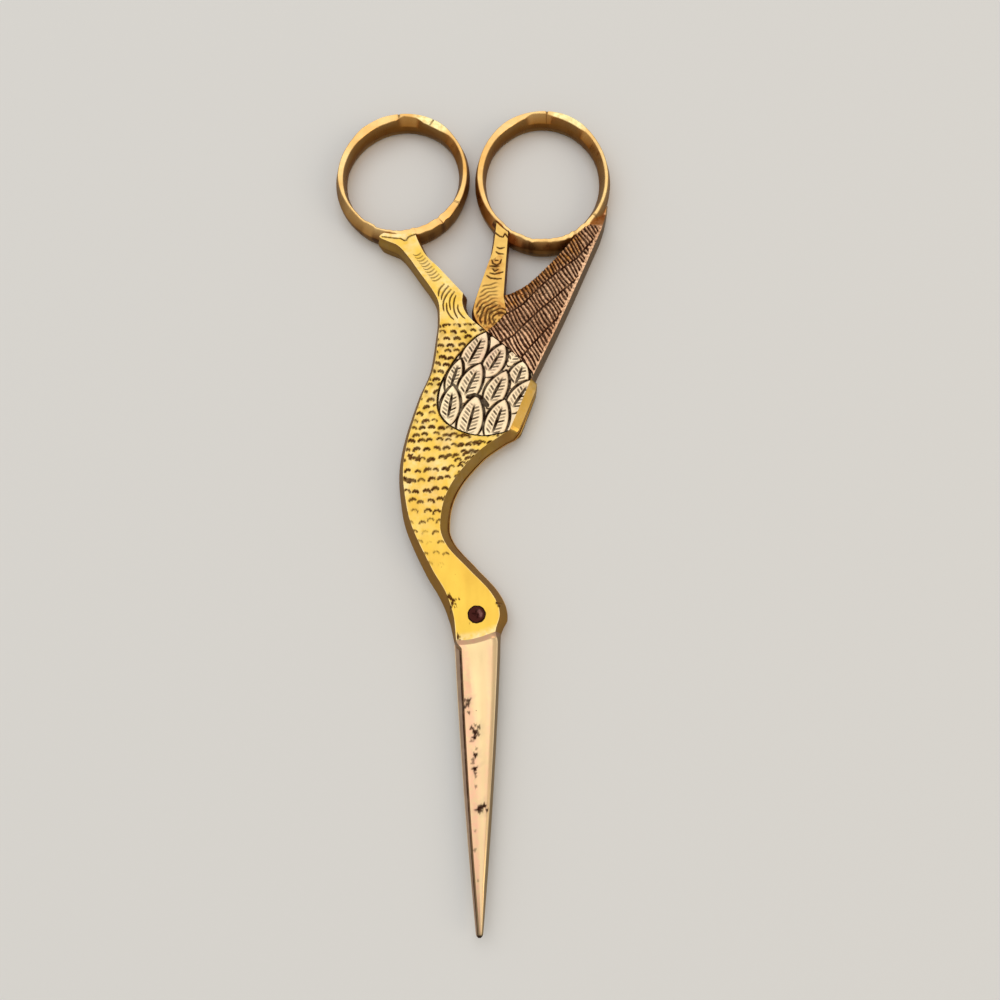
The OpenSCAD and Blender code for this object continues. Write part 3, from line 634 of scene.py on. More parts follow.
def feather_relief(x, y):
    """Height and soil of the feathers. Each is a pointed oval, given by its foot, tip and
    width, and lies over the feathers before it: domed, with a dark line round it, a rib
    along its middle and barbs that slant from the rib towards the tip. The dark line is a
    blackened groove inside the edge, and outside it a painted shadow that widens towards the
    tip. A hollow across the middle of the wing is painted as a deep shadow."""
    height = np.full(x.shape, -0.14)
    soil = np.full(x.shape, 0.12)
    for k, ((fx, fy), (tx, ty), width) in enumerate(feathers):
        length = math.hypot(tx - fx, ty - fy)
        ux, uy = (tx - fx) / length, (ty - fy) / length
        s = ((x - fx) * ux + (y - fy) * uy) / length
        d = (x - fx) * uy - (y - fy) * ux + 0.1 * np.sin(3 * s + k)
        clipped = np.clip(s, 0.001, 0.999)
        half = width / 2 * np.sin(np.pi * clipped ** 0.85) ** 0.62
        margin = np.where((s > 0) & (s < 1), half - abs(d),
                          -np.hypot(d, np.maximum(s - 1, -s) * length))
        deep = 0.14 + 0.14 * smooth(0.2, 0.8, s)
        share = abs(d) / np.maximum(half, 0.05)
        count = s * length / 0.56 - 1.25 * abs(d) + 0.4 * (d < 0)
        strength = 0.7 + 0.3 * np.sin(2.4 * np.round(count) + 1.9 * k + 2 * (d < 0))
        inner_end, outer_end = np.where(d < 0, 0.22, 0.04), np.where(d < 0, 0.68, 0.6)
        barbs = smooth(-0.25, 0.45, np.cos(2 * np.pi * count)) * strength
        barbs = barbs * smooth(outer_end + 0.12, outer_end - 0.08, share) * smooth(
            inner_end - 0.08, inner_end + 0.08, share)
        barbs = barbs * smooth(0.12, 0.24, s) * smooth(0.86, 0.76, s) * (k > 0)
        rib = smooth(0.11, 0.03, abs(d) - 0.13 * np.sin(np.pi * np.clip(s, 0, 1)) ** 2)
        rib = rib * smooth(0.14, 0.3, s) * smooth(0.86, 0.74, s) * (k > 1)
        cut = np.maximum(barb_deep * barbs, midrib_deep * rib)
        dome = -0.1 * share ** 2 - 0.1 * (1 - clipped)
        inner = smooth(-0.02, 0.16, margin)
        line = smooth(-deep - 0.1, -deep, margin) * smooth(0.13, 0.04, margin)
        here = margin > 0
        height = np.where(here, -0.26 * (1 - inner) + inner * (dome - cut),
                          height - (height - groove_z) * line)
        soil = np.where(here, np.maximum(line, np.maximum(barbs, rib)),
                        np.maximum(soil, line))
    # Painted shadow in the hollow between the middle feathers.
    gap_shadow = smooth(0.34, 0.22, near_line(x, y, [(-1.0, 30.25), (-0.1, 30.55), (0.75, 30.2),
                                              (1.25, 29.5), (1.6, 28.9)]))
    return np.minimum(height, -0.3 * gap_shadow), np.maximum(soil, gap_shadow)


def wing_loops():
    """Loops of the wing: rows straight across its outline, crowded towards its round foot,
    with a skirt that stands in the bed."""
    y = wing_foot_y + (wing_top_y - wing_foot_y) * np.linspace(0, 1, 310) ** 1.35
    left = through(wing_left_line, y)
    foot_end_y = wing_foot_line[-1][1]
    side = along_lines([wing_side_line, junction_line], np.maximum(y, foot_end_y))
    right = np.where(y < foot_end_y, at([point[::-1] for point in wing_foot_line], y), side)
    right = np.maximum(right, left + 0.002)
    top = face(left, right, y, thickness, 220)
    height, soil = feather_relief(top[..., 0], top[..., 1])
    across = np.minimum(top[..., 0] - left[:, None], right[:, None] - top[..., 0])
    # Painted shadow: the wing is sunk and darkened along its edges where x is under 4 mm.
    edge = smooth(0.16, 0.06, across) * (top[..., 0] < 4)
    soil = np.maximum(soil, edge)
    top[..., 2] += np.minimum(height, -0.2 * edge)
    skirt_left, skirt_right = top[:, :1].copy(), top[:, -1:].copy()
    skirt_left[..., 2] = skirt_right[..., 2] = thickness - wing_sunk - 0.02
    loops = np.concatenate([skirt_left, top, skirt_right], 1)
    rosy = 0.8 * np.exp(-(loops[..., 0] - 2) ** 2 / 9 - (loops[..., 1] - 36) ** 2 / 14)
    return loops, {"soil": np.pad(soil, ((0, 0), (1, 1)), constant_values=1), "worn": rosy}


silver = plated_steel("silver", bright=(0.98, 0.81, 0.53), dull=(0.88, 0.67, 0.44),
                      stain_and_shade=(0.018, 0.008, 0.004), shade_and_haze_tint=(0.5, 0.4, 0.3),
                      worn=(0.74, 0.50, 0.36), roughness=0.38, clouds=0.35)
wing = wing_loops()
make_bar("front_wing", *wing, "front", silver, "front_half", "silver")

# Blades: bare nickel plated steel below the gilt collar, ground to a slope on the cutting
# side and rounded along the spine, and flat where the two slide on each other.
tip_y = -37.0
shoulder_y = -4.0
blade_w, blade_belly, tip_w, spine_lap = 5, 0.4, 0.55, 0.75
blade_high, blade_drop, ground_w = 1.4, 0.95, 0.22

# Rust spots on the blade: place, radius and strength
rust_spots = [
    (-1.1, -10.55, 0.32, 1), (-1.2, -10.95, 0.32, 1), (-1.6, -11.3, 0.28, 1),
    (-1.5, -10.45, 0.2, 0.9), (-1.05, -12, 0.2, 0.9), (-0.75, -13.8, 0.25, 1),
    (-0.3, -13.5, 0.2, 0.8), (0.15, -13.75, 0.26, 0.9), (-0.3, -14.3, 0.42, 1),
    (0.05, -14.6, 0.26, 0.8), (-0.4, -14.95, 0.3, 1), (-0.75, -15.3, 0.22, 0.6),
    (-0.15, -16.25, 0.2, 0.6), (-0.3, -17, 0.32, 1), (-0.6, -17.5, 0.22, 0.8),
    (-0.6, -17.9, 0.22, 0.7), (-0.4, -18.6, 0.34, 1), (-0.35, -19.1, 0.2, 0.9),
    (-0.3, -19.5, 0.17, 0.7), (-0.28, -20.6, 0.2, 0.6), (0.1, -23.2, 0.42, 1),
    (0.38, -22.95, 0.38, 1), (0.68, -22.8, 0.3, 1), (1.0, -23.3, 0.2, 1),
    (0.1, -23.55, 0.2, 0.9), (-0.4, -25.6, 0.18, 0.5), (-0.45, -27.7, 0.22, 0.6),
    (-0.1, -31, 0.16, 0.5)
]


def blade_loops(cut_side):
    """Loops of a blade's upper layer. The straight taper from collar to tip has a slight
    belly, and a low ridge runs from the cutting side at the collar to the middle at the tip.
    Over the last rows the section grows into the head's, under the edge of the gilding.
    cut_side is -1 where the cutting edge is on the left and 1 where it is on the right."""
    y = spread((tip_y, -5, 0.16), (-5, collar_y, 0.05))
    root = -3.5
    t = (y - root) / (tip_y - root)
    taper = blade_w + (tip_w - blade_w) * t + blade_belly * 4 * t * (1 - t)
    lap = spine_lap * (1 - 0.7 * t)
    spine_slope = np.minimum(0.3, taper * 0.2)
    edge_slope = ground_w + 0 * t
    taper = taper * np.maximum(smooth(tip_y - 0.12, tip_y + 0.35, y), 0.05) ** 0.5
    lap = np.minimum(lap, 0.5 * taper)
    cut_x = (taper - lap) / 2 - edge_slope
    spine_x = (taper + lap) / 2 - spine_slope
    left, right, left_slope, right_slope = (
        (-cut_x, spine_x, edge_slope, spine_slope) if cut_side < 0
        else (-spine_x, cut_x, spine_slope, edge_slope))
    grown = smooth(shoulder_y, collar_y, y)
    left = left + (breast_line[0][0] - left) * grown
    right = right + (nape_line[0][0] - right) * grown
    left_slope = left_slope + (breast_slopes[0][1] - left_slope) * grown
    right_slope = right_slope + (nape_slopes[0][1] - right_slope) * grown
    high = blade_high - blade_drop * np.clip(t, 0, 1) + 0.12 * smooth(-7, root, y)
    swell = np.clip((y + 3.4) / 0.6, 0, 1)
    high = high + (thickness - lap_z - high) * swell ** 1.2
    high = high * smooth(tip_y - 0.35, tip_y + 0.5, y) ** 0.5
    face_count = 60
    on_face = slice(len(slope_profile), len(slope_profile) + face_count)
    top = face(left, right, y, lap_z, face_count)
    u = (top[..., 0] - left[:, None]) / (right - left)[:, None]
    from_edge = u if cut_side < 0 else 1 - u
    ridge = at([(tip_y, 0.5), (-17, 0.42), (-8, 0.24), (root, 0.14)], y)[:, None]
    slope_side = 1 - 0.2 * np.clip(1 - from_edge / ridge, 0, 1) * smooth(root, -9, y)[:, None]
    crown = np.clip((from_edge - ridge) / (1 - ridge), 0, 1)
    spine_side = 1 - 0.03 * crown ** 2 - 0.11 * smooth(0.8, 1, from_edge) ** 1.5
    shape = np.where(from_edge < ridge, slope_side, spine_side)
    shape = shape + (1 - shape) * swell[:, None]
    top[..., 2] += high[:, None] * shape
    walls = [wall(left, y, left_slope, -1, lap_z, top[:, :1, 2]),
             wall(right, y, right_slope, 1, lap_z, top[:, -1:, 2])[:, ::-1]]
    # Points across the lap face, and a painted shadow on it where the other blade's edge lies when
    # the scissors are shut.
    step = (lap / taper)[:, None, None] * np.array([[[0.15], [0.7], [0.8], [1.15], [1.3]]])
    step, shadow = (step, [0.5, 0.55, 1, 1, 0]) if cut_side < 0 else (
        1 - step[:, ::-1], [0, 1, 1, 0.55, 0.5])
    lap_face = walls[1][:, -1:] * (1 - step) + walls[0][:, :1] * step
    loops = np.concatenate([walls[0], top, walls[1], lap_face], 1)
    loops[..., 1] += collar_bend(loops[..., 0], np.minimum(loops[..., 1], collar_y)) * smooth(
        -6, collar_y, y)[:, None]
    # Painted shade from the side mask: on the walls, the lap face and the rounded spine, and a
    # little on the cutting side towards the tip. Round the rust spots it spreads their haze.
    side = np.ones(walls[0].shape[:2])
    ends = [0.4 * side, 0.45 * side] if cut_side < 0 else [0.45 * side, 0.4 * side]
    dull = 0.12 * smooth(1.6, 0.6, from_edge / ridge) * smooth(-6, -14, y)[:, None]
    sides = np.concatenate([ends[0], np.maximum(dull, 0.3 * smooth(0.86, 1, from_edge)), ends[1],
                            1 + 0 * lap_face[..., 0]], 1)
    x, y_all = loops[..., 0], loops[..., 1]
    rust_and_shadow, haze = (blots(x * -cut_side, y_all, [(spot_x, spot_y, wide * radius, strong * deep)
                                               for spot_x, spot_y, radius, deep in rust_spots])
                  for wide, strong in ((1.15, 1), (3, 0.2)))
    sides[:, on_face] = np.maximum(sides[:, on_face], haze[:, on_face])
    # The lap's points carry the painted shadow, not rust.
    rust_and_shadow[:, -5:] = shadow
    # The points on the lap's two edges stay clean, so that no spot is drawn across the lap
    rust_and_shadow[:, [0, -6]] = 0
    rust_and_shadow = np.maximum(rust_and_shadow, smooth(tip_y + 0.35, tip_y + 0.1, y_all))
    # Painted shade and light: the cutting slope is painted rosier as its shade, a thin band near
    # the spine is rosier too, and the ramp under the collar is painted rosy and light.
    rosy = 0 * x
    rosy[:, on_face] = np.maximum(smooth(1.5, 0.6, from_edge / ridge),
                                  0.6 * np.exp(-((from_edge - 0.8) / 0.1) ** 2))
    collar_ramp_light = smooth(root, -3.2, y[:, None]) + 0 * x
    return loops, {"soil": rust_and_shadow, "side": sides, "worn": np.maximum(rosy, collar_ramp_light)}


# The nickel's side tint is painted shade on the walls, spine and lap, and the haze round rust
# spots. Its worn colour is painted shade on the cutting slope and painted light on the collar's
# ramp.
nickel = plated_steel("nickel", bright=(0.90, 0.70, 0.37), dull=(0.83, 0.60, 0.33),
                      stain_and_shade=(0.03, 0.011, 0.007), shade_and_haze_tint=(0.42, 0.30, 0.22),
                      worn=(0.95, 0.56, 0.36), roughness=0.33, clouds=0.3, grain=(1, 0.06, 1))
make_bar("front_blade", *closed_end(*blade_loops(-1), -1), "front", nickel, "front_half",
         "blade")

# Back half: the same bird under the front one. Its blade is the front blade turned over about
# the long axis, its neck stands out a little beside the front one, and its body ends at the
# stop, where the front leg's root begins.
make_bar("back_blade", *turned_over(*closed_end(*blade_loops(1), -1)), "back", nickel,
         "back_half", "blade")

back_rows = spread((collar_y, 8, 0.2), (8, stop_y, 0.1), (stop_y, 40.15, 0.1))
peep = at([(0, 0), (8.4, 0.25), (25.1, 0.25), (32.4, 0)], back_rows)
back_right = along_lines([nape_line, wing_side_line, junction_line], back_rows) + peep
back_slope = at(breast_slopes, back_rows)
back_left = through(breast_line, back_rows) + peep
stop_x = np.where(back_rows < stop_y, -20, at(stop_ends, back_rows))
back_outer = np.maximum(back_left - back_slope, stop_x)
back_left = np.minimum(np.maximum(back_left, stop_x), back_right - 0.03)
back_slope = np.maximum(back_left - back_outer, 0)
back_gilt = gilt_body(back_left, back_right, back_rows, back_slope,
                      at(nape_slopes, back_rows), [])
make_bar("back_body", *turned_over(*back_gilt), "back", gilt, "back_half", "gilt")
make_bar("back_wing", *turned_over(*wing), "back", silver, "back_half", "silver")

# Tail: runs at full thickness from the wing to the back ring, with long feathers cut into
# both faces, whose ribs slant across them, and a smooth rim along its free side.
tail_line = [
    (7.5, 32.42), (8.1, 33.63), (12.3, 42.6), (17.1, 53.6), (18.5, 57), (19.2, 60), (19.6, 63)
]
tail_top_y = 61.8
rib_pitch, rib_deep, rim_height, lump_height = 0.53, 0.2, 0.02, 0.018
fall_y, fall_length, fall_rate = 57.1, 3.1, 0.55
rim_line = [
    (7.75, 33.2), (8.75, 35.8), (10.55, 39.7), (12.7, 44.7), (14.45, 48.6), (16.4, 53.2),
    (17.5, 55.7), (17.9, 57.1), (14, 58.4), (12, 63)
]
leg_bulge_line = [(1.65, 40.2), (3.2, 41.7), (4.45, 43.2)]
leg_hollow_line = [(4.45, 43.2), (4.3, 44.4), (4.1, 45.9)]
space_line = [
    (4.1, 45.9), (5.05, 46.2), (7.16, 47.4), (9.3, 49.4), (12.73, 53.2), (15.6, 57), (17.4, 60),
    (18.5, 62.5)
]
feather_edges = [
    [(2.6, 38.0), (3.8, 38.7), (5.3, 39.5), (6.5, 40.9), (9.3, 43.7), (12.4, 46.5),
     (14.2, 48.1), (15.2, 49.4)],
    [(4.5, 43.0), (6.8, 44.5), (8.6, 46.6), (11.5, 49.4), (14.6, 51.8), (17, 54.8)],
    [(6.3, 36.0), (7.6, 37.7), (9.1, 39.4), (10.4, 40.9), (11.5, 42.1), (12.6, 43.9)]
]


def two_sided(left, right, y, left_slope, right_slope, relief, count):
    """Loops of a bar at full thickness, whose walls slope out to mid height from both faces
    and whose two faces have the same relief."""
    top = face(left, right, y, thickness, count)
    depth, soil, worn = relief(top[..., 0], top[..., 1])
    top[..., 2] -= depth
    walls = [wall(left, y, left_slope, -1, thickness / 2, top[:, :1, 2]),
             wall(right, y, right_slope, 1, thickness / 2, top[:, -1:, 2])[:, ::-1]]
    upper = np.concatenate([walls[0], top, walls[1]], 1)
    lower = upper[:, ::-1].copy()
    lower[..., 2] = thickness - lower[..., 2]
    side = np.ones(walls[0].shape[:2])
    masks = {"soil": np.concatenate([0 * side, soil, 0 * side], 1),
             "side": np.concatenate([side, 0 * soil, side], 1),
             "worn": np.concatenate([0 * side, worn, 0 * side], 1)}
    return (np.concatenate([upper, lower], 1),
            {mask: np.concatenate([values, values[:, ::-1]], 1)
             for mask, values in masks.items()})


def tail_relief(x, y):
    """Ribs that slant across the feathers, cut off where one feather's edge lies over the
    next, and left out along the smooth rim. Each feather's ribs are out of step, and the
    gilding is left on the feathers next to the leg space. Over its last stretch the face
    falls away towards the ring, and is given the same gilt colour as painted shade."""
    step = 0 * x
    for k, line in enumerate(feather_edges):
        step = step + (0.31 + 0.13 * k) * (y > at(line, x))
    wobble = 0.07 * np.sin(x * 2.1 + 1) + 0.06 * np.sin(y * 1.7) + 0.04 * np.sin(5 * x + 3 * y)
    phase = (x * 0.88 + y * 0.46 + wobble) / rib_pitch + step
    rough = 0.35 * np.sin(4.1 * x - 2.3 * y) * np.sin(3.3 * y + 1.1 * x)
    ribs = smooth(-0.3 + rough, 0.5 + rough, np.cos(2 * np.pi * phase))
    scallop = 0.14 * np.sin(phase * np.pi)
    rim = smooth(-0.05, 0.15, x - through(rim_line, y) + scallop)
    ribs = ribs * (1 - rim)
    cut = np.maximum(0.8 * ribs, graved(x, y, feather_edges, 0.2) * (1 - rim))
    gilding_and_shade = smooth(-0.4, 1.0, y - at(feather_edges[1], x)) * smooth(0.4, -0.6, x - 15.5)
    # Painted shade: where the face falls away, the gilt colour darkens it like a wall.
    gilding_and_shade = np.maximum(gilding_and_shade, smooth(57.2, 57.8, y))
    fall = fall_rate * np.clip(y - fall_y, 0, fall_length)
    lumps = np.sin(9.1 * x + 4.7 * y) * np.sin(7.3 * y - 5.9 * x) + np.sin(14 * x - 11 * y)
    lumps = lumps * smooth(57.4, 57, y)
    soil = np.maximum(smooth(0.1, 0.7, cut), 0.4 * smooth(0.7, 1.6, lumps) + 0.12 * (1 - rim))
    depth = rib_deep * cut + rim_height * (1 - rim) + lump_height * lumps + fall
    return depth, soil, gilding_and_shade


tail_y = spread((32.6, tail_top_y, 0.09))
tail_left = along_lines([junction_line, leg_bulge_line, leg_hollow_line, space_line], tail_y)
tail_left = tail_left + np.where(tail_y < crotch_y, 0.1, 0)
tail_right = np.maximum(through(tail_line, tail_y), tail_left + 0.05)
tail_loops, tail_masks = two_sided(tail_left, tail_right, tail_y, 0 * tail_y,
                                   at([(32.6, 0.25), (35, 0.2)], tail_y), tail_relief, 130)
# The bronze's side tint is painted shade on the tail's walls. Its worn colour is gilding left on
# some feathers, and painted shade where the face falls towards the ring.
bronze = plated_steel("bronze", bright=(0.92, 0.59, 0.36), dull=(0.57, 0.28, 0.14),
                      stain_and_shade=(0.035, 0.011, 0.006), shade_and_haze_tint=(0.40, 0.27, 0.15),
                      worn=(0.62, 0.28, 0.075), roughness=0.3, clouds=0.5, pits=0.08)
make_bar("tail", seated(tail_loops, *back_oval), tail_masks, "back", bronze, "back_half",
         "bronze")

# Back leg: forged with the back half, at full thickness from the crotch to the back ring. Its
# gilding is worn and brown from the hand, and short arcs are cut across shin and knee.
back_cut_deep, stain_deep = 0.12, 0.03
back_leg_line = [
    (1.7, 40.2), (0.4, 41.7), (-0.15, 43.4), (0.1, 45.2), (1.8, 50.8), (2.65, 53.5), (3.4, 59.5)
]
back_shin_arcs = [
    [(3.25, 54), (3.7, 53.75), (4.3, 53.9)],
    [(3.1, 53.25), (3.5, 52.9), (4.2, 52.8)],
    [(2.5, 51.85), (2.65, 51.3), (3.2, 51), (3.65, 51.3), (3.85, 51.9)],
    [(3, 51.75), (3.4, 51.75)],
    [(2.2, 50.85), (3.5, 50.8)],
    [(2.6, 50.4), (2.9, 50), (3.4, 50.3)],
    [(2.2, 49.7), (2.9, 49.5), (4.05, 49.8)],
    [(1.75, 49.3), (2.3, 48.85), (3.2, 48.7), (3.8, 48.7)]
]
back_seam = [(2.1, 57.6), (2.9, 56.6), (3.7, 55.85), (4.15, 55.7), (4.45, 56.3), (5.1, 55.2)]
back_leg_stains = [
    (3.4, 43.1, 0.45, 0.8), (2.2, 43.4, 0.5, 0.7), (1.3, 42.9, 0.4, 0.6), (2.7, 44.6, 0.4, 0.5),
    (3.5, 44.2, 0.3, 0.7), (0.9, 43.9, 0.4, 0.5), (2.9, 51.9, 0.3, 0.6), (2.9, 50.5, 0.5, 0.45),
    (1.9, 42, 0.3, 0.6)
]


def back_leg_relief(x, y):
    """Arcs across the shin, and rings of arcs round the knee's outer corner, with brown
    stains round them."""
    radius = np.hypot(x - 3.5, y - 42.3) + 0.08 * np.sin(3 * x + 2 * y)
    left = through(back_leg_line, y)
    rings = smooth(0.16, 0.05, abs(radius / 0.6 % 1 - 0.5) * 0.6) * smooth(6.2, 6.0, radius)
    rings = rings * smooth(0.2, 0.5, x - left) * smooth(0.3, 0.9, radius)
    rings = rings * smooth(0.7, -0.3, (x - 3.1) * (y > 44)) * smooth(-1, 0.4, y - 41.6)
    rings = rings * (1 - 0.5 * smooth(44, 45, y))
    cuts = np.maximum(graved(x, y, back_shin_arcs, 0.17), rings)
    cuts = np.maximum(cuts, graved(x, y, [back_seam], 0.15))
    cloud = np.sin(6 * x + 3 * y) * np.sin(5 * y - 4 * x) + 0.5 * np.sin(11 * x - 7 * y)
    knee = smooth(46.2, 44.4, y + 0.5 * x) * smooth(0.15, 0.5, x - left) * smooth(4.3, 3.9, x)
    stains = np.maximum(blots(x, y, back_leg_stains), 0.75 * knee * smooth(-0.1, 0.7, cloud))
    worn = np.maximum(smooth(47.5, 44, y), blots(x, y, [(3, 51, 1.6, 0.8)]))
    depth = back_cut_deep * cuts + stain_deep * stains
    return depth, np.maximum(smooth(0.1, 0.7, cuts), stains), worn


back_leg_y = spread((crotch_y, 59.0, 0.09))
shin_side = at([(45.9, 4.1), (60, 5.2)], back_leg_y)
back_leg_left = through(back_leg_line, back_leg_y)
back_leg_right = np.where(back_leg_y > 45.9, shin_side, along_lines(
    [leg_bulge_line, leg_hollow_line], back_leg_y)) - 0.04
back_leg_right = np.maximum(back_leg_right, back_leg_left + 0.05)
back_leg_loops, back_leg_masks = two_sided(
    back_leg_left, back_leg_right, back_leg_y, at([(41.2, 0), (44.2, 0.4)], back_leg_y),
    at([(45, 0), (46.5, 0.2)], back_leg_y), back_leg_relief, 70)
# The side tint is painted shade on the back leg's walls.
worn_gilt = plated_steel("worn_gilt", bright=(0.86, 0.58, 0.17), dull=(0.66, 0.36, 0.08),
                         stain_and_shade=(0.09, 0.03, 0.008), shade_and_haze_tint=(0.33, 0.12, 0.05),
                         worn=(0.58, 0.27, 0.06), roughness=0.36, clouds=0.4, pits=0.02)
make_bar("back_leg", seated(back_leg_loops, *back_oval), back_leg_masks, "back", worn_gilt,
         "back_half", "bronze")

# Finger rings: each is a band, drawn to an oval and brazed to the foot of its half, then
# filed by hand, so the narrow flat along the top wanders and changes its width.
# The flats are given by angle in degrees, shift outwards and width
front_ring_flat = [
    (0, 0.15, 0.6), (14, 0.2, 0.4), (34, 0.25, 0.4), (41, 0.2, 0.6), (50, 0.05, 1.2),
    (60, 0, 1.4), (69, 0.05, 1.3), (78, 0.35, 0.65), (89, 0.42, 0.45), (98, 0.05, 1.2),
    (108, 0, 1.4), (130, 0, 1.35), (142, -0.05, 1), (180, -0.05, 0.85), (200, -0.2, 0.5),
    (215, -0.35, 0.3), (250, -0.4, 0.25), (264, -0.3, 0.4), (271, -0.05, 1), (285, 0, 1.2),
    (315, 0.1, 1.2), (330, 0.15, 0.9), (345, 0.15, 0.7), (360, 0.15, 0.6)
]
back_ring_flat = [
    (0, 0.2, 0.5), (30, 0.22, 0.45), (42, 0.25, 0.5), (50, 0.15, 0.95), (66, 0.15, 1.05),
    (77, 0.18, 0.9), (85, 0.35, 0.5), (97, 0.35, 0.45), (106, 0.1, 1), (120, 0, 1.25),
    (142, 0, 0.95), (180, 0, 0.8), (205, -0.15, 0.55), (225, -0.3, 0.4), (250, -0.25, 0.5),
    (280, -0.1, 0.6), (310, 0, 0.65), (335, 0.15, 0.45), (360, 0.2, 0.5)
]


def ring_loops(middle, half, flats, nicks, seed):
    """Loops of the band's section round the oval. The section has eight corners, each cut by
    a narrow bevel: a flat on top and below, and two upright walls. Each corner wanders in
    and out a little, as a file leaves it, and most beside the brazed foot. nicks are filed
    into the top's outer edge, each given by its angle and its reach in degrees."""
    angle = np.linspace(0, 2 * np.pi, 720, endpoint=False)
    degrees = np.degrees(angle)
    shift, width = (at([(row[0], row[k]) for row in flats], degrees) for k in (1, 2))
    rng = np.random.default_rng(seed)

    def wander(size):
        """A smooth closed wave round the ring, made of a few sines."""
        wave = 0 * angle
        for turns in (3, 5, 8, 13, 21, 34):
            wave = wave + np.sin(turns * angle + rng.uniform(0, 6.28)) / turns ** 0.8
        return size * wave

    wall_r, wall_z = band_w / 2, band_h * 0.12
    foot = smooth(62, 30, abs(degrees - 272))
    dents = np.convolve(np.tile(rng.normal(size=len(angle)), 3), np.hanning(17), "same")
    dents = 0.4 * foot * dents[len(angle):2 * len(angle)]
    shift = shift + 0.07 * dents
    corner = np.stack([np.stack(c, -1) for c in (
        (shift + width / 2 + wander(0.03), band_h / 2 + wander(0.02) - 0.04 * dents),
        (wall_r + wander(0.04), wall_z + wander(0.12)),
        (wall_r + wander(0.04), -wall_z + wander(0.12)),
        (band_w * 0.22 + wander(0.03), -band_h / 2 + 0 * angle),
        (-band_w * 0.22 + wander(0.03), -band_h / 2 + 0 * angle),
        (-wall_r + wander(0.04), -wall_z + wander(0.12)),
        (-wall_r + wander(0.04), wall_z + wander(0.12)),
        (shift - width / 2 + wander(0.03), band_h / 2 + wander(0.02)))], 1)
    toward_next = np.roll(corner, -1, 1) - corner
    toward_last = np.roll(corner, 1, 1) - corner
    bevel = 0.07
    after = corner + toward_next / np.linalg.norm(toward_next, axis=-1, keepdims=True) * bevel
    before = corner + toward_last / np.linalg.norm(toward_last, axis=-1, keepdims=True) * bevel
    section = np.stack([before, after], 2).reshape(len(angle), -1, 2)
    point, out = ring_frame(middle, half, angle)
    nick = np.zeros(len(angle))
    for place, reach in nicks:
        nick = np.maximum(nick, smooth(reach, reach * 0.3, abs(degrees - place)))
    r, height = section[..., 0], section[..., 1]
    nicked = nick[:, None] * (height > 1) * (r > 0)
    flat = point[:, None] + out[:, None] * section[..., :1]
    z = (thickness / 2 + height - 0.15 * nicked)[..., None]
    inner = r < -wall_r * 0.9
    outer = r > wall_r * 0.9
    soil = 0.6 * nicked
    brazing = foot * np.clip(0.3 + 0.25 * dents, 0, 0.8)
    soil = np.maximum(soil, brazing[:, None] * outer)
    # Painted shade on the band's inner and outer walls, lighter on the bevels beside the top.
    side = 1.0 * inner + 0.8 * outer
    side[:, [1, 14]] = 0.35, 0.5
    # Painted highlight along the top's two edges, from about 45 to 80 degrees round.
    worn = 0 * side
    worn[:, [0, 15]] = (smooth(43, 50, degrees) * smooth(83, 75, degrees))[:, None]
    return np.concatenate([flat, z], -1), {"side": side, "soil": soil, "worn": worn}


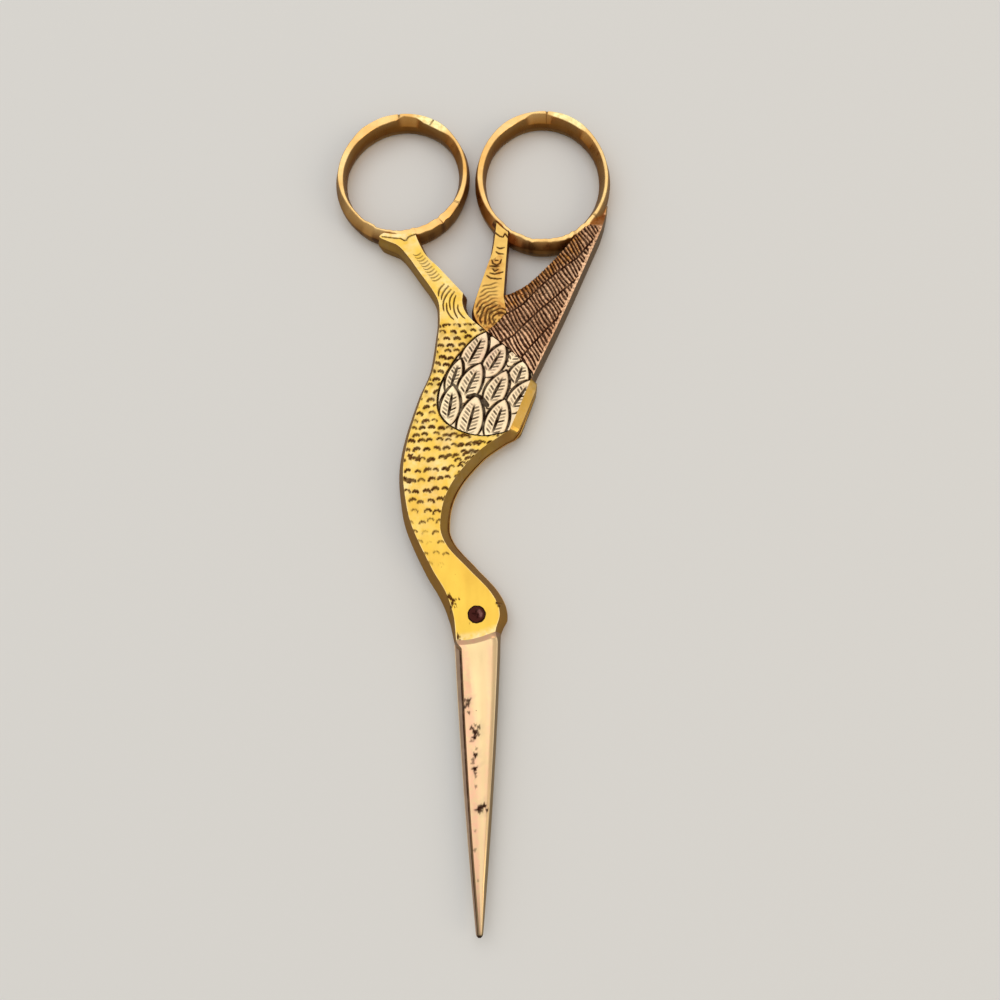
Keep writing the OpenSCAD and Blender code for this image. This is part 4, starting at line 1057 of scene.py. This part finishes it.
# The ring's side tint is painted shade on the walls, and its worn colour a painted highlight on
# the top.
ring_gilt = plated_steel("ring_gilt", bright=(0.97, 0.70, 0.32), dull=(0.80, 0.44, 0.12),
                         stain_and_shade=(0.10, 0.03, 0.01), shade_and_haze_tint=(0.44, 0.18, 0.03),
                         worn=(1.0, 0.90, 0.45), roughness=0.3, clouds=0.4, pits=0.01,
                         grain=(1, 1, 0.2))
for node, body, oval, flats, nicks, seed in (
        ("front_finger_ring", "front", front_oval, front_ring_flat,
         [(94, 1.2), (62, 0.8), (222, 1), (330, 1)], 3),
        ("back_finger_ring", "back", back_oval, back_ring_flat,
         [(84, 0.9), (236, 1.2), (322, 1)], 4)):
    loops, masks = ring_loops(*oval, flats, nicks, seed)
    rows, columns = loops.shape[:2]
    quads = sheet_faces(rows + 1, columns) % (rows * columns)
    make_piece(node + "_band", loops, quads[:, ::-1], [], masks, body, ring_gilt, node, "gilt",
               crease=16)


# Rivet: a plain dark iron pin, held by the back half, on which the front half turns. It is
# peened into a countersink on both faces, and its head is the bird's eye.
def rivet_loops():
    """A turned profile, from the middle of one head to the middle of the other, with a
    dished and slightly lumpy top, and a painted highlight on the head."""
    turn = np.linspace(0, 2 * np.pi, 72, endpoint=False)
    r = np.array([0.02, 0.2, 0.4, 0.6, 0.8, 0.95, 1.02, 1.06, 1.1, 1.15, 1.15, 0.95, 0.95])
    z = np.array([0.0, 0.0, 0.02, 0.05, 0.06, 0.05, 0.03, 0.012, 0.012, 0.012, -0.1, -0.5,
                  -1.7])
    soil = np.array([0, 0, 0, 0, 0, 0, 0.5, 1, 1, 0.7, 1, 1, 1])
    r, soil = (np.concatenate([k, k[::-1]]) for k in (r, soil))
    z = np.concatenate([thickness + z, -z[::-1]])
    lumps = 0.05 * np.sin(3 * turn + 1)[None] * np.sin(4.5 * r)[:, None] * (r < 0.9)[:, None]
    lumps = lumps + 0.02 * np.sin(5 * turn + 9 * r[:, None]) * (r < 0.85)[:, None]
    edge = 1 + 0.012 * np.sin(7 * turn + 1) + 0.01 * np.sin(11 * turn)
    x, y = r[:, None] * edge * np.cos(turn), r[:, None] * edge * np.sin(turn)
    # Painted highlight: a crescent on the head, towards one side.
    glint = smooth(0.25, 0.4, r)[:, None] * smooth(0.75, 0.55, r)[:, None] * smooth(
        0.2, 0.9, np.cos(turn - 0.4))
    return (np.stack([x, y, z[:, None] + lumps], -1),
            {"soil": soil[:, None] + 0 * x, "worn": glint})


# The iron's worn colour is the painted highlight on the head.
iron = plated_steel("iron", bright=(0.06, 0.015, 0.012), dull=(0.035, 0.01, 0.008),
                    stain_and_shade=(0.012, 0.006, 0.004), shade_and_haze_tint=(0.05, 0.03, 0.02),
                    worn=(0.22, 0.10, 0.09), roughness=0.2, clouds=0.5)
make_bar("rivet_pin", *rivet_loops(), "back", iron, "pivot_rivet", "rivet")
